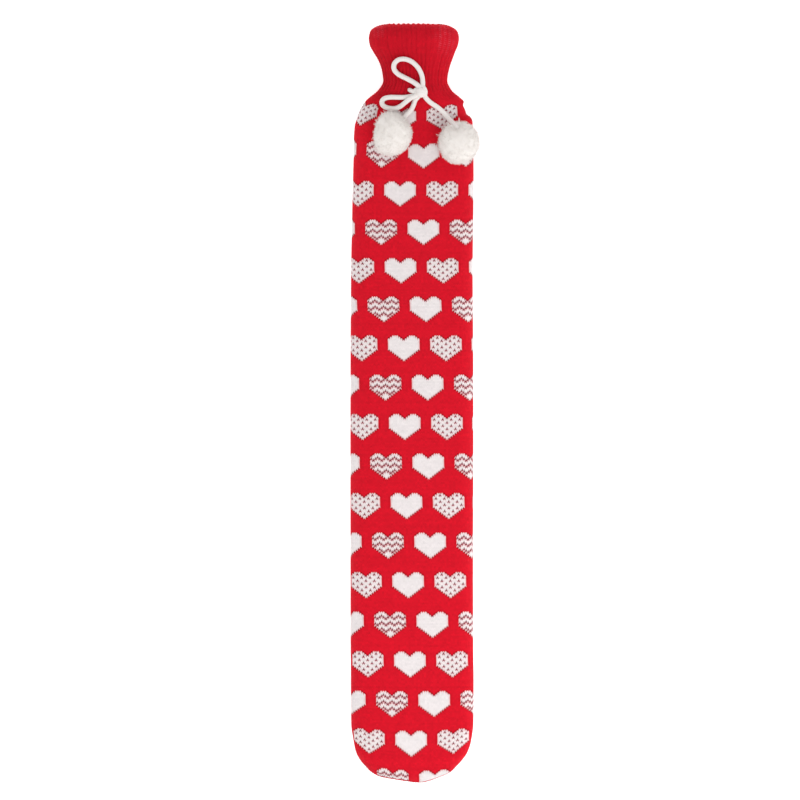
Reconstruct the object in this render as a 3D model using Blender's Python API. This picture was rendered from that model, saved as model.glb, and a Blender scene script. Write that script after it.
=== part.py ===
"""A long knitted cover for a hot water bottle, lying on its back.

X runs across the cover, +Y runs up to the mouth, and Z is up. The cover is a hollow pouch of
two knitted panels that meet at a side seam. Each panel widens from a ribbed, flared neck into
a long flat body with a rounded end. A soft cord is tied in a bow at the foot of the neck, and
each of its two tails ends in a pompom that lies on the front.

Lengths are in millimetres until a mesh is made, which is in metres.
"""
import math
import random
from collections import namedtuple

import bmesh
import bpy
from mathutils import Vector

MM = 0.001
SEAM_GAP = 0.3          # space between two pieces that touch

# ---- knitted panels -----------------------------------------------------------------------
WALL = 2.6              # thickness of the knitted cloth
RIB_DEPTH = 1.0         # how far a rib's valley lies under its crest
RIBS = 21               # ribs on each panel's neck
COLUMNS_PER_RIB = 3     # a valley and the two edges of the crest
CORNER_POWER = 2.2      # 2 is an ellipse, more is squarer
FRONT_CROWN = 2.0       # extra height along the middle of the front
CORNER_WEIGHT = 9.0     # how much a bend draws the columns of the body together
SECTION_STEPS = 720     # fine steps along which a section's length is measured
LIP_INSET = 1.2         # how far the cloth's rounded edge stands into the mouth
LIP_SHARE = 0.4         # where that edge stands in the wall's thickness

# Cross sections from the mouth down to the end. Half widths and centres are the outline seen
# from above. Seam is the height of the side seam, rise and drop are the depth of the front
# and back panel from it, corner is the share of the half width that is rounded off, and rib
# is the share of the full rib depth.
Station = namedtuple("Station", "along centre half_width seam rise drop corner rib")
STATIONS = [
    Station(370.0, 1.8, 26.0, 18.5, 8.6, 8.6, 1.00, 0.7),
    Station(369.4, 1.8, 31.6, 18.5, 11.4, 11.4, 1.00, 1.0),
    Station(368.2, 1.8, 36.0, 18.5, 13.9, 13.9, 1.00, 1.0),
    Station(366.0, 1.8, 39.8, 18.5, 16.0, 16.0, 1.00, 1.0),
    Station(362.7, 1.8, 42.5, 18.5, 17.6, 17.6, 1.00, 1.0),
    Station(356.8, 2.0, 43.7, 18.5, 18.5, 18.5, 1.00, 1.0),
    Station(350.0, 1.6, 43.0, 18.5, 18.2, 18.2, 1.00, 1.0),
    Station(343.0, 1.6, 39.6, 18.5, 17.4, 17.4, 1.00, 1.0),
    Station(335.0, 2.3, 35.6, 18.5, 16.5, 16.5, 1.00, 1.0),
    Station(327.0, 3.1, 32.2, 18.5, 15.6, 15.6, 1.00, 1.0),
    Station(320.0, 3.3, 30.8, 18.5, 15.1, 15.1, 1.00, 1.0),
    Station(314.5, 3.4, 30.8, 18.4, 14.9, 14.9, 0.98, 0.8),
    Station(309.5, 2.8, 32.9, 18.2, 14.8, 14.7, 0.93, 0.6),
    Station(304.1, 2.3, 37.2, 17.6, 14.6, 14.4, 0.84, 0.3),
    Station(298.3, 1.9, 43.4, 16.7, 14.2, 14.1, 0.71, 0.0),
    Station(292.4, 0.8, 48.9, 15.6, 13.8, 13.7, 0.58, 0.0),
    Station(286.6, 0.3, 52.7, 14.6, 13.4, 13.3, 0.47, 0.0),
    Station(280.0, 0.3, 55.0, 13.7, 13.0, 13.0, 0.39, 0.0),
    Station(272.0, 0.5, 56.7, 13.0, 12.7, 12.7, 0.33, 0.0),
    Station(260.0, 0.6, 58.0, 12.6, 12.5, 12.6, 0.29, 0.0),
    Station(240.0, 0.6, 58.7, 12.5, 12.5, 12.5, 0.28, 0.0),
    Station(190.0, 0.3, 58.9, 12.5, 12.5, 12.5, 0.28, 0.0),
    Station(120.0, 0.0, 59.1, 12.5, 12.5, 12.5, 0.28, 0.0),
    Station(40.0, 0.0, 59.4, 12.5, 12.5, 12.5, 0.28, 0.0),
    Station(-50.0, 0.0, 59.5, 12.5, 12.5, 12.5, 0.28, 0.0),
    Station(-140.0, 0.0, 59.4, 12.5, 12.5, 12.5, 0.28, 0.0),
    Station(-220.0, 0.1, 59.3, 12.5, 12.5, 12.5, 0.28, 0.0),
    Station(-280.0, 0.1, 59.2, 12.5, 12.5, 12.5, 0.28, 0.0),
    Station(-312.0, 0.4, 58.8, 12.5, 12.5, 12.5, 0.28, 0.0),
    Station(-328.0, 0.3, 57.6, 12.5, 12.3, 12.5, 0.29, 0.0),
    Station(-340.0, 0.5, 54.4, 12.5, 11.9, 12.1, 0.32, 0.0),
    Station(-348.0, 0.2, 49.4, 12.5, 11.1, 11.3, 0.36, 0.0),
    Station(-354.0, -0.4, 44.2, 12.5, 10.1, 10.3, 0.41, 0.0),
    Station(-359.0, -1.0, 38.4, 12.5, 8.9, 9.1, 0.48, 0.0),
    Station(-363.0, 1.6, 30.0, 12.5, 7.4, 7.5, 0.60, 0.0),
    Station(-366.2, 6.6, 18.4, 12.5, 5.4, 5.5, 0.80, 0.0),
    Station(-368.5, 8.4, 8.2, 12.5, 3.2, 3.2, 1.00, 0.0),
]
TIP = Vector((6.7, -370.0, 12.5))   # point of the rounded end
LAST_RIBBED = 14                    # the last station whose outer face has the rib columns

# ---- the tie ------------------------------------------------------------------------------
CORD_DIAMETER = 4.8
CORD_SIDES = 2              # bevel resolution, which gives eight sides
CORD_STEP = 6.0             # distance between the points of a cord's solid
KNOT_CENTRE = Vector((9.4, 304.8, 38.3))
KNOT_RADIUS = 6.2           # across
KNOT_HALF_HEIGHT = 5.3
KNOT_POWER = 0.6            # 1 is an ellipsoid, less is squarer
KNOT_WRAP = 0.3             # depth of the grooves between the cord's wraps
KNOT_WRAP_PITCH = 4.4
KNOT_WRAP_WAY = Vector((0.8, 0.6, 0.0))     # across the wraps on the top of the knot
ROUTE_PARTS = 24            # fine parts of the curve between two points of a route

# Middle lines of the cord, from the knot outwards: x, y, z. The cord lies on the front.
UPPER_LOOP = [(10.7, 311.6, 37.4), (10.7, 314.6, 36.7), (9.8, 319.2, 36.5), (7.5, 324.1, 37.0),
              (4.1, 328.7, 37.4), (-0.4, 332.6, 37.7), (-4.7, 335.2, 37.8),
              (-8.8, 336.2, 37.6), (-13.1, 335.4, 37.0), (-16.3, 332.6, 36.2),
              (-17.5, 328.9, 35.5), (-16.5, 325.2, 35.1), (-13.3, 321.7, 35.3),
              (-8.9, 319.2, 36.0), (-3.6, 316.6, 36.6), (1.3, 313.9, 37.4), (5.4, 311.1, 39.1)]
LOWER_LOOP = [(3.1, 301.9, 35.2), (-1.6, 300.2, 34.9), (-7.5, 299.4, 34.8),
              (-14.3, 299.3, 34.6), (-20.6, 299.2, 33.9), (-25.8, 298.2, 33.0),
              (-28.7, 295.5, 32.5), (-28.6, 292.0, 32.4), (-25.5, 289.4, 32.4),
              (-20.6, 288.1, 32.4), (-15.7, 288.2, 32.6), (-11.6, 289.9, 33.6),
              (-8.4, 292.4, 35.6), (-5.0, 295.4, 38.2), (-0.8, 298.4, 40.0),
              (3.9, 299.9, 40.5)]
LEFT_TAIL = [(7.4, 298.8, 35.0), (4.9, 294.9, 34.0), (1.8, 290.5, 33.0), (-1.0, 286.7, 32.2),
             (-4.2, 283.0, 31.8), (-7.6, 279.0, 32.0), (-10.0, 275.4, 33.2)]
RIGHT_TAIL = [(13.7, 300.3, 35.5), (16.2, 296.6, 34.4), (19.5, 293.2, 33.5),
              (24.4, 289.7, 32.5), (29.4, 285.8, 31.6), (34.3, 281.5, 31.0),
              (37.6, 276.6, 31.6), (39.2, 272.6, 33.2), (39.9, 269.6, 34.8)]
STUB = [(-5.4, 306.7, 35.9), (-2.6, 306.9, 36.0), (0.2, 307.0, 35.8), (2.7, 307.1, 35.7)]

# ---- pompoms ------------------------------------------------------------------------------
Pompom = namedtuple("Pompom", "name centre half_x half_y half_z base taper cord_end seed")
POMPOMS = [
    Pompom("pompom_left", Vector((-17.7, 262.2, 41.4)), 20.4, 22.6, 15.5, 27.0, 0.20,
           LEFT_TAIL[-1], 3),
    Pompom("pompom_right", Vector((44.6, 253.4, 40.7)), 21.2, 22.4, 15.5, 26.3, 0.0,
           RIGHT_TAIL[-1], 8),
]
CORE_SHARE = 0.80           # the wound core's share of the pompom's radius
CORE_DIVISIONS = 3
LOCKS_EACH = 145
LOCK_TAPER = 0.4            # tip width as a share of the root's
LOCK_CLEARANCE = 0.4        # lowest tip above the pompom's flat underside
LOCK_SPREAD = 0.06          # unevenness of the locks' reach
LOCK_LEAN = 0.035         # each lock's tilt, as a share of the pompom's radius
BARE_BELOW = -0.5           # no locks on the part that lies on the cover
BARE_AT_CORD = math.radians(24)

KNIT_RED = (0.66, 0.012, 0.026)
CORD_WHITE = (0.86, 0.84, 0.79)
POMPOM_WHITE = (0.90, 0.88, 0.83)


def clear_scene():
    for item in list(bpy.data.objects):
        bpy.data.objects.remove(item, do_unlink=True)


def make_material(name, colour, roughness):
    material = bpy.data.materials.new(name)
    material.use_nodes = True
    shader = material.node_tree.nodes["Principled BSDF"]
    shader.inputs["Base Color"].default_value = (*colour, 1.0)
    shader.inputs["Roughness"].default_value = roughness
    shader.inputs["Metallic"].default_value = 0.0
    return material


def link_mesh(name, shape, material):
    """Turn a bmesh in millimetres into an object in metres."""
    for vertex in shape.verts:
        vertex.co *= MM
    bmesh.ops.recalc_face_normals(shape, faces=shape.faces)
    mesh = bpy.data.meshes.new(name)
    shape.to_mesh(mesh)
    shape.free()
    mesh.shade_smooth()
    mesh.materials.append(material)
    piece = bpy.data.objects.new(name, mesh)
    bpy.context.scene.collection.objects.link(piece)
    return piece


# ---- the two knitted panels ---------------------------------------------------------------
def corner_height(share, corner):
    """Height of a section, 0 to 1, at a share of its half width from the middle."""
    start = 1.0 - corner
    if share <= start:
        return 1.0
    turn = min((share - start) / corner, 1.0)
    return (1.0 - turn ** CORNER_POWER) ** (1.0 / CORNER_POWER)


def section_point(station, share, side):
    """A point of a panel's outer face; share runs from -1 to 1, side is 1 front, -1 back."""
    lift = corner_height(abs(share), station.corner)
    depth = station.rise if side > 0 else station.drop
    if side > 0:
        depth += FRONT_CROWN * (1.0 - station.corner) * (1.0 - share * share)
    height = SEAM_GAP / 2 + (depth - SEAM_GAP / 2) * lift
    across = station.centre + station.half_width * share
    return Vector((across, station.along, station.seam + side * height))


def section_row(station, side, columns, corner_weight):
    """Points at even steps of arc length, drawn together where the section bends."""
    path = [section_point(station, -math.cos(math.pi * step / SECTION_STEPS), side)
            for step in range(SECTION_STEPS + 1)]
    measure = [0.0]
    for index in range(1, SECTION_STEPS + 1):
        stretch = path[index] - path[index - 1]
        bend = 0.0
        if index > 1:
            bend = stretch.angle(path[index - 1] - path[index - 2], 0.0)
        measure.append(measure[-1] + stretch.length + corner_weight * bend)
    row = []
    cursor = 1
    for column in range(columns + 1):
        target = measure[-1] * column / columns
        while cursor < SECTION_STEPS and measure[cursor] < target:
            cursor += 1
        span = measure[cursor] - measure[cursor - 1]
        part = 0.0 if span == 0 else (target - measure[cursor - 1]) / span
        row.append(path[cursor - 1].lerp(path[cursor], min(max(part, 0.0), 1.0)))
    return row


def face_normals(rows, side):
    """Outward directions on a grid of rows that runs from the mouth to the end."""
    normals = []
    last_row = len(rows) - 1
    for r, row in enumerate(rows):
        line = []
        last_column = len(row) - 1
        for c in range(len(row)):
            across = row[min(c + 1, last_column)] - row[max(c - 1, 0)]
            below = rows[r + 1][c] if r < last_row else TIP
            above = rows[max(r - 1, 0)][c]
            along = below - above
            if r == 0:
                normal = Vector((0.0, 1.0, 0.0))
            elif c == 0:
                normal = Vector((along.y, -along.x, 0.0))       # level at the side seam
            elif c == last_column:
                normal = Vector((-along.y, along.x, 0.0))
            else:
                normal = along.cross(across) * side
            line.append(normal.normalized())
        normals.append(line)
    return normals


def rib_depth_at(column):
    return RIB_DEPTH if column % COLUMNS_PER_RIB == 0 else 0.0


def bridge(shape, upper, lower):
    """Faces between two rows, also where one has several columns for each of the other's."""
    if len(upper) == len(lower):
        for c in range(len(upper) - 1):
            shape.faces.new((upper[c], upper[c + 1], lower[c + 1], lower[c]))
        return
    fine, coarse = (upper, lower) if len(upper) > len(lower) else (lower, upper)
    ratio = (len(fine) - 1) // (len(coarse) - 1)
    for c in range(len(coarse) - 1):
        strip = fine[c * ratio:(c + 1) * ratio + 1]
        middle = len(strip) // 2
        for index in range(ratio):
            end = coarse[c] if index < middle else coarse[c + 1]
            shape.faces.new((strip[index], strip[index + 1], end))
        shape.faces.new((strip[middle], coarse[c + 1], coarse[c]))


def make_panel(name, side, material):
    shape = bmesh.new()
    fine_columns = RIBS * COLUMNS_PER_RIB
    weights = [0.0 if index <= LAST_RIBBED else CORNER_WEIGHT
               for index in range(len(STATIONS))]
    base = [section_row(station, side, RIBS, weight)
            for station, weight in zip(STATIONS, weights)]
    inner_normals = face_normals(base, side)

    # Outer face: fine columns carry the ribs of the neck, plain ones the body.
    ribbed = [section_row(station, side, fine_columns, 0.0)
              for station in STATIONS[:LAST_RIBBED + 1]]
    rib_normals = face_normals(ribbed, side)
    outer = []
    for r, station in enumerate(STATIONS):
        if r <= LAST_RIBBED:
            points = [point - rib_normals[r][c] * rib_depth_at(c) * station.rib
                      for c, point in enumerate(ribbed[r])]
        else:
            points = base[r]
        outer.append([shape.verts.new(point) for point in points])
    for upper, lower in zip(outer, outer[1:]):
        bridge(shape, upper, lower)

    # Inner face, one wall inside the outer one.
    inner = [[shape.verts.new(point - normal * WALL) for point, normal in zip(row, normals)]
             for row, normals in zip(base, inner_normals)]
    for upper, lower in zip(inner, inner[1:]):
        bridge(shape, upper, lower)

    # The rounded edge of the cloth at the mouth.
    mouth = STATIONS[0]
    edge = mouth._replace(along=mouth.along - WALL * LIP_SHARE,
                          half_width=mouth.half_width - LIP_INSET,
                          rise=mouth.rise - LIP_INSET, drop=mouth.drop - LIP_INSET)
    lip = [shape.verts.new(point) for point in section_row(edge, side, RIBS, 0.0)]
    bridge(shape, outer[0], lip)
    bridge(shape, lip, inner[0])

    # The closed end, then the two edges along the side seam.
    offset = Vector((0.0, 0.0, side * SEAM_GAP / 2))
    outer_tip = shape.verts.new(TIP + offset)
    inner_tip = shape.verts.new(TIP + offset + Vector((0.0, WALL, 0.0)))
    for row, tip in ((outer[-1], outer_tip), (inner[-1], inner_tip)):
        for c in range(len(row) - 1):
            shape.faces.new((row[c], row[c + 1], tip))
    for end in (0, -1):
        shape.faces.new((outer[0][end], lip[end], inner[0][end]))
        for r in range(len(STATIONS) - 1):
            shape.faces.new((outer[r][end], outer[r + 1][end],
                             inner[r + 1][end], inner[r][end]))
        shape.faces.new((outer[-1][end], outer_tip, inner_tip, inner[-1][end]))
    return link_mesh(name, shape, material)


# ---- the tie ------------------------------------------------------------------------------
def smooth_route(route, step):
    """Points about one step apart on a Catmull-Rom curve through the route."""
    points = [Vector(point) for point in route]
    points = [2 * points[0] - points[1]] + points + [2 * points[-1] - points[-2]]
    fine = []
    for a, b, c, d in zip(points, points[1:], points[2:], points[3:]):
        for part in range(ROUTE_PARTS):
            t = part / ROUTE_PARTS
            fine.append(0.5 * (2 * b + (c - a) * t + (2 * a - 5 * b + 4 * c - d) * t ** 2
                               + (3 * b - a - 3 * c + d) * t ** 3))
    fine.append(points[-2])
    travel = [0.0]
    for before, after in zip(fine, fine[1:]):
        travel.append(travel[-1] + (after - before).length)
    count = max(2, round(travel[-1] / step))
    even = []
    for index in range(count + 1):
        target = travel[-1] * index / count
        even.append(min(zip(travel, fine), key=lambda pair: abs(pair[0] - target))[1])
    return even


def make_cord(name, route, material):
    points = smooth_route(route, CORD_STEP)
    curve = bpy.data.curves.new(name, "CURVE")
    curve.dimensions = "3D"
    curve.bevel_depth = CORD_DIAMETER / 2 * MM
    curve.bevel_resolution = CORD_SIDES
    curve.render_resolution_u = 0
    curve.use_fill_caps = True
    spline = curve.splines.new("POLY")
    spline.points.add(len(points) - 1)
    for target, point in zip(spline.points, points):
        target.co = (*(point * MM), 1.0)
    curve.materials.append(material)
    piece = bpy.data.objects.new(name, curve)
    bpy.context.scene.collection.objects.link(piece)
    return piece


def signed_power(value, power):
    return math.copysign(abs(value) ** power, value)


def make_knot(name, material):
    """A squat lump of crossed wraps, drawn tight over the roots of both loops."""
    shape = bmesh.new()
    bmesh.ops.create_uvsphere(shape, u_segments=24, v_segments=14, radius=1.0)
    for vertex in shape.verts:
        turn = math.atan2(vertex.co.y, vertex.co.x)
        level = math.asin(max(-1.0, min(1.0, vertex.co.z)))
        reach = abs(math.cos(level)) ** KNOT_POWER * KNOT_RADIUS
        point = Vector((math.cos(turn) * reach, math.sin(turn) * reach,
                        signed_power(math.sin(level), KNOT_POWER) * KNOT_HALF_HEIGHT))
        diagonal = point.dot(KNOT_WRAP_WAY) if point.z > 0 else point.z
        groove = 0.5 - 0.5 * math.cos(2 * math.pi * diagonal / KNOT_WRAP_PITCH)
        point -= point.normalized() * KNOT_WRAP * groove
        vertex.co = KNOT_CENTRE + point
    return link_mesh(name, shape, material)


# ---- pompoms ------------------------------------------------------------------------------
def pompom_point(pompom, direction, reach):
    """A point of the pompom's surface; it is slimmer towards its top end and flat below."""
    slim = 1.0 - pompom.taper * max(direction.y, 0.0)
    low = direction.z < 0
    point = Vector((direction.x * pompom.half_x * slim * reach,
                    direction.y * pompom.half_y * reach,
                    direction.z * pompom.half_z * (1.0 if low else reach)))
    point += pompom.centre
    point.z = max(point.z, pompom.base)
    return point


def make_pompom(pompom, material):
    """A wound core with tapered locks of fibre that grow out of its own faces."""
    dice = random.Random(pompom.seed)
    shape = bmesh.new()
    bmesh.ops.create_icosphere(shape, subdivisions=CORE_DIVISIONS, radius=1.0)
    cord_way = Vector(pompom.cord_end) - pompom.centre
    cord_way = Vector((cord_way.x / pompom.half_x, cord_way.y / pompom.half_y,
                       cord_way.z / pompom.half_z)).normalized()
    roots = []
    for face in shape.faces:
        way = face.calc_center_median().normalized()
        if way.z > BARE_BELOW and way.angle(cord_way) > BARE_AT_CORD:
            roots.append(face)
    roots = dice.sample(roots, LOCKS_EACH)
    locks = bmesh.ops.extrude_discrete_faces(shape, faces=roots)["faces"]
    tips = set()
    for face in locks:
        middle = face.calc_center_median().normalized()
        lean = Vector([dice.uniform(-LOCK_LEAN, LOCK_LEAN) for _ in range(3)])
        way = (middle + lean).normalized()
        reach = 1.0 + dice.uniform(-LOCK_SPREAD, LOCK_SPREAD)
        tip = pompom_point(pompom, way, reach)
        tip.z = max(tip.z, pompom.base + LOCK_CLEARANCE)
        for vertex in face.verts:
            root = pompom_point(pompom, vertex.co.normalized(), CORE_SHARE)
            heart = pompom_point(pompom, middle, CORE_SHARE)
            vertex.co = tip + (root - heart) * LOCK_TAPER
            tips.add(vertex)
    for vertex in shape.verts:
        if vertex not in tips:
            vertex.co = pompom_point(pompom, vertex.co.normalized(), CORE_SHARE)
    return link_mesh(pompom.name, shape, material)


def main():
    clear_scene()
    knit = make_material("knit", KNIT_RED, 0.85)
    cord = make_material("cord", CORD_WHITE, 0.8)
    pile = make_material("pile", POMPOM_WHITE, 0.95)
    make_panel("cover_front", 1, knit)
    make_panel("cover_back", -1, knit)
    make_knot("tie_knot", cord)
    make_cord("tie_stub", STUB, cord)
    make_cord("tie_loop_upper", UPPER_LOOP, cord)
    make_cord("tie_loop_lower", LOWER_LOOP, cord)
    make_cord("tie_tail_left", LEFT_TAIL, cord)
    make_cord("tie_tail_right", RIGHT_TAIL, cord)
    for pompom in POMPOMS:
        make_pompom(pompom, pile)


main()
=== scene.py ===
# %% [markdown]
# # A knitted cover for a hot water bottle
# A long, slim pouch of double knit lies on its back: two panels with rows of white hearts, a
# ribbed neck that flares at the mouth, and a soft cord tied in a bow with two pompoms. The
# solids of the frame hold its true shape. Here each one is dressed in its stitches, its yarn
# and its light. Every cell names the real thing first, and then how it is made.
#
# The frame comes first.

# %% Load the frame
import math

import bpy
import numpy as np
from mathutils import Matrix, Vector
from mathutils.kdtree import KDTree


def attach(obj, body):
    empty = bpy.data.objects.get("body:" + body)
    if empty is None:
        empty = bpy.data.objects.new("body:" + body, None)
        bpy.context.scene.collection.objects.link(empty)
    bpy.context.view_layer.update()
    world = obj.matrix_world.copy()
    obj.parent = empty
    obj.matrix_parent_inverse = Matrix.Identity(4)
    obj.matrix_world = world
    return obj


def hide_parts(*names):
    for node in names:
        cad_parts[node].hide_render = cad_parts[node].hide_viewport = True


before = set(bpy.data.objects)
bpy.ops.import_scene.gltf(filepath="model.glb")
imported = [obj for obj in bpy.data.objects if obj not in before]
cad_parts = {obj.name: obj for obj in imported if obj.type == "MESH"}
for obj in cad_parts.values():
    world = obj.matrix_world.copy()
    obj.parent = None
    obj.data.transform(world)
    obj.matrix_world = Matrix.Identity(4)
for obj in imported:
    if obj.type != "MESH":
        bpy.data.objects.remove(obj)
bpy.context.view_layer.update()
MM = 0.001

# %% [markdown]
# ## The camera
# The cover was photographed from straight above, from far away, so that nothing in it is
# foreshortened. A very long lens would come close to that, but an orthographic camera sees
# it in just this way, and one number joins the photograph to the scene: the real size of a
# pixel.

# %% Camera straight above the cover
PHOTO_SIDE = 800                                # pixels
PIXEL = 0.976                                   # millimetres of the cover in one pixel
PHOTO_MIDDLE = (-11.4, 3.5)                     # millimetres, from the frame's origin
CAMERA_HEIGHT = 2000.0

bpy.ops.object.select_all(action="DESELECT")
bpy.ops.object.camera_add(location=(PHOTO_MIDDLE[0] * MM, PHOTO_MIDDLE[1] * MM,
                                    CAMERA_HEIGHT * MM), rotation=(0.0, 0.0, 0.0))
camera = bpy.context.object
camera.name = "camera"
camera.data.type = "ORTHO"
camera.data.ortho_scale = PHOTO_SIDE * PIXEL * MM
bpy.context.scene.camera = camera
print("camera sees", round(camera.data.ortho_scale, 4), "m")

# %% [markdown]
# ## Helpers for meshes made of rows
# Knitting is a grid: stitches in a row, rows one above the other. The cords, panels and seams
# here are all grids whose points follow a formula. To move them by hand would take tens of
# thousands of steps, so one helper numbers a grid's faces, and another turns points and faces
# into an object with a stitch map (UV) and a yarn colour. A third one counts triangles and
# looks for holes.

# %% Grids of points into pieces
def grid_faces(rows, columns, wrap, flip=False):
    """The faces of a grid, and the column and row of each of their corners."""
    r, c = np.mgrid[0:rows - 1, 0:columns if wrap else columns - 1]
    corners = [(r, c), (r, c + 1), (r + 1, c + 1), (r + 1, c)]
    if flip:
        corners = corners[::-1]
    faces = np.stack([i * columns + j % columns for i, j in corners], axis=-1)
    places = np.stack([np.stack([j, i], axis=-1) for i, j in corners], axis=-2)
    return faces.reshape(-1, 4), places.reshape(-1, 4, 2).astype(float)


def build_piece(name, points, faces, places, colours):
    """An object of points in millimetres; places and colours go with each face's corners.

    A colour has three numbers, or a fourth that a material may read for something else."""
    mesh = bpy.data.meshes.new(name)
    mesh.from_pydata((np.asarray(points) * MM).tolist(), [], [list(face) for face in faces])
    mesh.uv_layers.new(name="stitches").data.foreach_set(
        "uv", np.concatenate([np.asarray(place).ravel() for place in places]))
    tint = mesh.color_attributes.new("yarn", "FLOAT_COLOR", "CORNER")
    rgba = np.ones((len(mesh.loops), 4))
    stack = np.concatenate([np.reshape(colour, (-1, np.shape(colour)[-1])) for colour in colours])
    rgba[:, :stack.shape[1]] = stack
    tint.data.foreach_set("color", rgba.ravel())
    mesh.shade_smooth()
    piece = bpy.data.objects.new(name, mesh)
    bpy.context.scene.collection.objects.link(piece)
    return piece


def report(piece):
    """Prints a piece's triangles, and how many edges don't join exactly two faces."""
    mesh = piece.data
    triangles = sum(len(face.vertices) - 2 for face in mesh.polygons)
    sides = np.zeros(len(mesh.edges), dtype=int)
    of_loops = np.zeros(len(mesh.loops), dtype=int)
    mesh.loops.foreach_get("edge_index", of_loops)
    np.add.at(sides, of_loops, 1)
    print(piece.name, triangles, "triangles,", int((sides != 2).sum()), "odd edges")


print("a ring of 3 points, 5 times over:", len(grid_faces(5, 3, wrap=True)[0]), "faces")

# %% [markdown]
# ## The cord
# The tie is a round knitted cord, about 5 mm thick. It is soft, so it lies on the knitting in
# smooth bends. A cord could be drawn as a curve object, but its stitches need real points. So
# each stretch follows a route of a few listed points, close to those of its solid,
# and a smooth curve through them is cut into short, even steps.

# %% Routes of the tie
CORD_DIAMETER = 4.8
STUB_DIAMETER = 4.2             # the cut end has shrunk a little
UPPER_LOOP = [(10.6, 307.6, 35.4), (10.8, 309.8, 36.4), (10.8, 311.8, 37.0),
              (10.7, 315.0, 36.7), (10.0, 319.7, 36.5), (8.3, 324.2, 37.0),
              (5.6, 328.6, 37.4), (1.8, 332.4, 37.7), (-1.2, 334.4, 37.8),
              (-4.9, 335.8, 37.8), (-8.8, 336.3, 37.6), (-13.1, 335.4, 37.0),
              (-16.3, 332.6, 36.2), (-17.5, 328.9, 35.5), (-16.5, 325.2, 35.1),
              (-13.3, 321.7, 35.3), (-8.9, 319.2, 36.0), (-3.6, 316.6, 36.6),
              (1.3, 313.9, 37.4), (5.0, 311.4, 38.2), (7.6, 309.0, 38.4),
              (9.2, 306.6, 38.0)]
LOWER_LOOP = [(6.9, 302.0, 35.6), (3.1, 300.9, 35.2), (-1.6, 299.7, 34.9), (-7.5, 298.9, 34.8),
              (-14.3, 298.9, 34.6), (-20.6, 299.0, 33.9), (-25.8, 298.0, 33.0),
              (-28.7, 295.5, 32.5), (-28.6, 292.0, 32.4), (-25.5, 289.4, 32.4),
              (-20.6, 288.1, 32.4), (-15.7, 288.2, 32.6), (-11.6, 289.9, 33.6),
              (-8.4, 292.2, 35.6), (-5.0, 295.0, 37.6), (-0.8, 298.2, 38.8),
              (3.4, 300.2, 38.6), (7.4, 302.0, 38.0)]
LEFT_TAIL = [(7.4, 301.2, 36.4), (5.6, 298.6, 36.0), (3.5, 296.3, 35.3), (2.0, 292.0, 33.8),
             (0.5, 288.4, 32.8), (-1.9, 285.2, 32.0), (-4.7, 282.2, 31.8), (-7.6, 279.0, 32.0),
             (-10.0, 275.4, 33.2), (-13.0, 270.0, 36.5)]
RIGHT_TAIL = [(10.6, 302.8, 36.4), (12.7, 300.0, 35.5), (15.6, 296.3, 34.4), (19.3, 293.1, 33.5),
              (24.4, 289.8, 32.5), (29.4, 285.6, 31.8), (34.0, 280.7, 32.0),
              (37.6, 276.6, 35.4), (40.9, 273.1, 40.4), (43.4, 270.5, 43.8), (46.4, 267.2, 43.6)]
STUB = [(-2.1, 306.3, 31.2), (-2.0, 306.1, 33.4), (-1.2, 305.7, 35.0), (0.4, 305.0, 36.0),
        (2.6, 304.3, 36.6), (5.6, 303.8, 37.0)]
ROUTE_PARTS = 24                # short lines between two points of a route
CORD_STEP = 0.42                # length from one ring of the tube's points to the next


def travelled(path):
    """Length along a path, up to each of its points."""
    return np.append(0.0, np.cumsum(np.linalg.norm(np.diff(path, axis=0), axis=1)))


def at_marks(path, travel, marks):
    """Places on a path at the given lengths along it."""
    return np.column_stack([np.interp(marks, travel, path[:, k]) for k in range(3)])


def smooth_route(route):
    """Points about one step apart on a smooth curve through the route, in millimetres."""
    points = np.array(route, dtype=float)
    points = np.vstack([2 * points[0] - points[1], points, 2 * points[-1] - points[-2]])
    t = np.linspace(0.0, 1.0, ROUTE_PARTS, endpoint=False)[:, None]
    fine = [0.5 * (2 * b + (c - a) * t + (2 * a - 5 * b + 4 * c - d) * t ** 2
                   + (3 * b - a - 3 * c + d) * t ** 3)
            for a, b, c, d in zip(points, points[1:], points[2:], points[3:])]
    fine = np.vstack(fine + [points[-2:-1]])
    travel = travelled(fine)
    return at_marks(fine, travel, np.linspace(0.0, travel[-1], round(travel[-1] / CORD_STEP) + 1))


print("upper loop:", len(UPPER_LOOP), "points become", len(smooth_route(UPPER_LOOP)))

# %% [markdown]
# The cord has five columns of stitches round a hollow middle, and each stitch shows as two
# raised legs. A tube carries them, and its radius rises and falls by a formula. It needs two
# directions across its path at each point. They are carried along from point to point,
# turning only as much as the path does, so that the stitches never twist.

# %% A knitted tube along a route
CORD_WALES = 5                  # columns of stitches round the cord
CORD_SIDES = 20                 # four points to each column
CORD_COURSE = 1.7               # length of a stitch
CORD_RELIEF = 0.16              # how far the stitches stand out
CORD_BEAT = 0.45                # share of that which comes and goes with each stitch
CORD_LEAN = 1.2                 # how far a stitch's legs lean, as a share of its length
# cream cotton, with a pink tint painted in for light bounced off the red cover
CORD_CREAM_AND_RED_BOUNCE = (0.86, 0.815, 0.79)
TUBE_END = 1.6                  # length over which a tube's end is rounded off
TUBE_TIP = 0.03                 # share of the radius that is left at the tip, squared


def unit(vectors):
    """The same directions, each of length 1."""
    return vectors / np.linalg.norm(vectors, axis=-1, keepdims=True)


def frames_along(path):
    """Two directions across a path, at each of its points."""
    way = unit(np.gradient(path, axis=0))
    start = np.cross(way[0], (0.0, 0.0, 1.0))
    if np.linalg.norm(start) < 0.1:
        start = np.cross(way[0], (1.0, 0.0, 0.0))
    across = [unit(start)]
    for direction in way[1:]:
        across.append(unit(across[-1] - direction * across[-1].dot(direction)))
    across = np.array(across)
    return across, np.cross(way, across)


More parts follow.
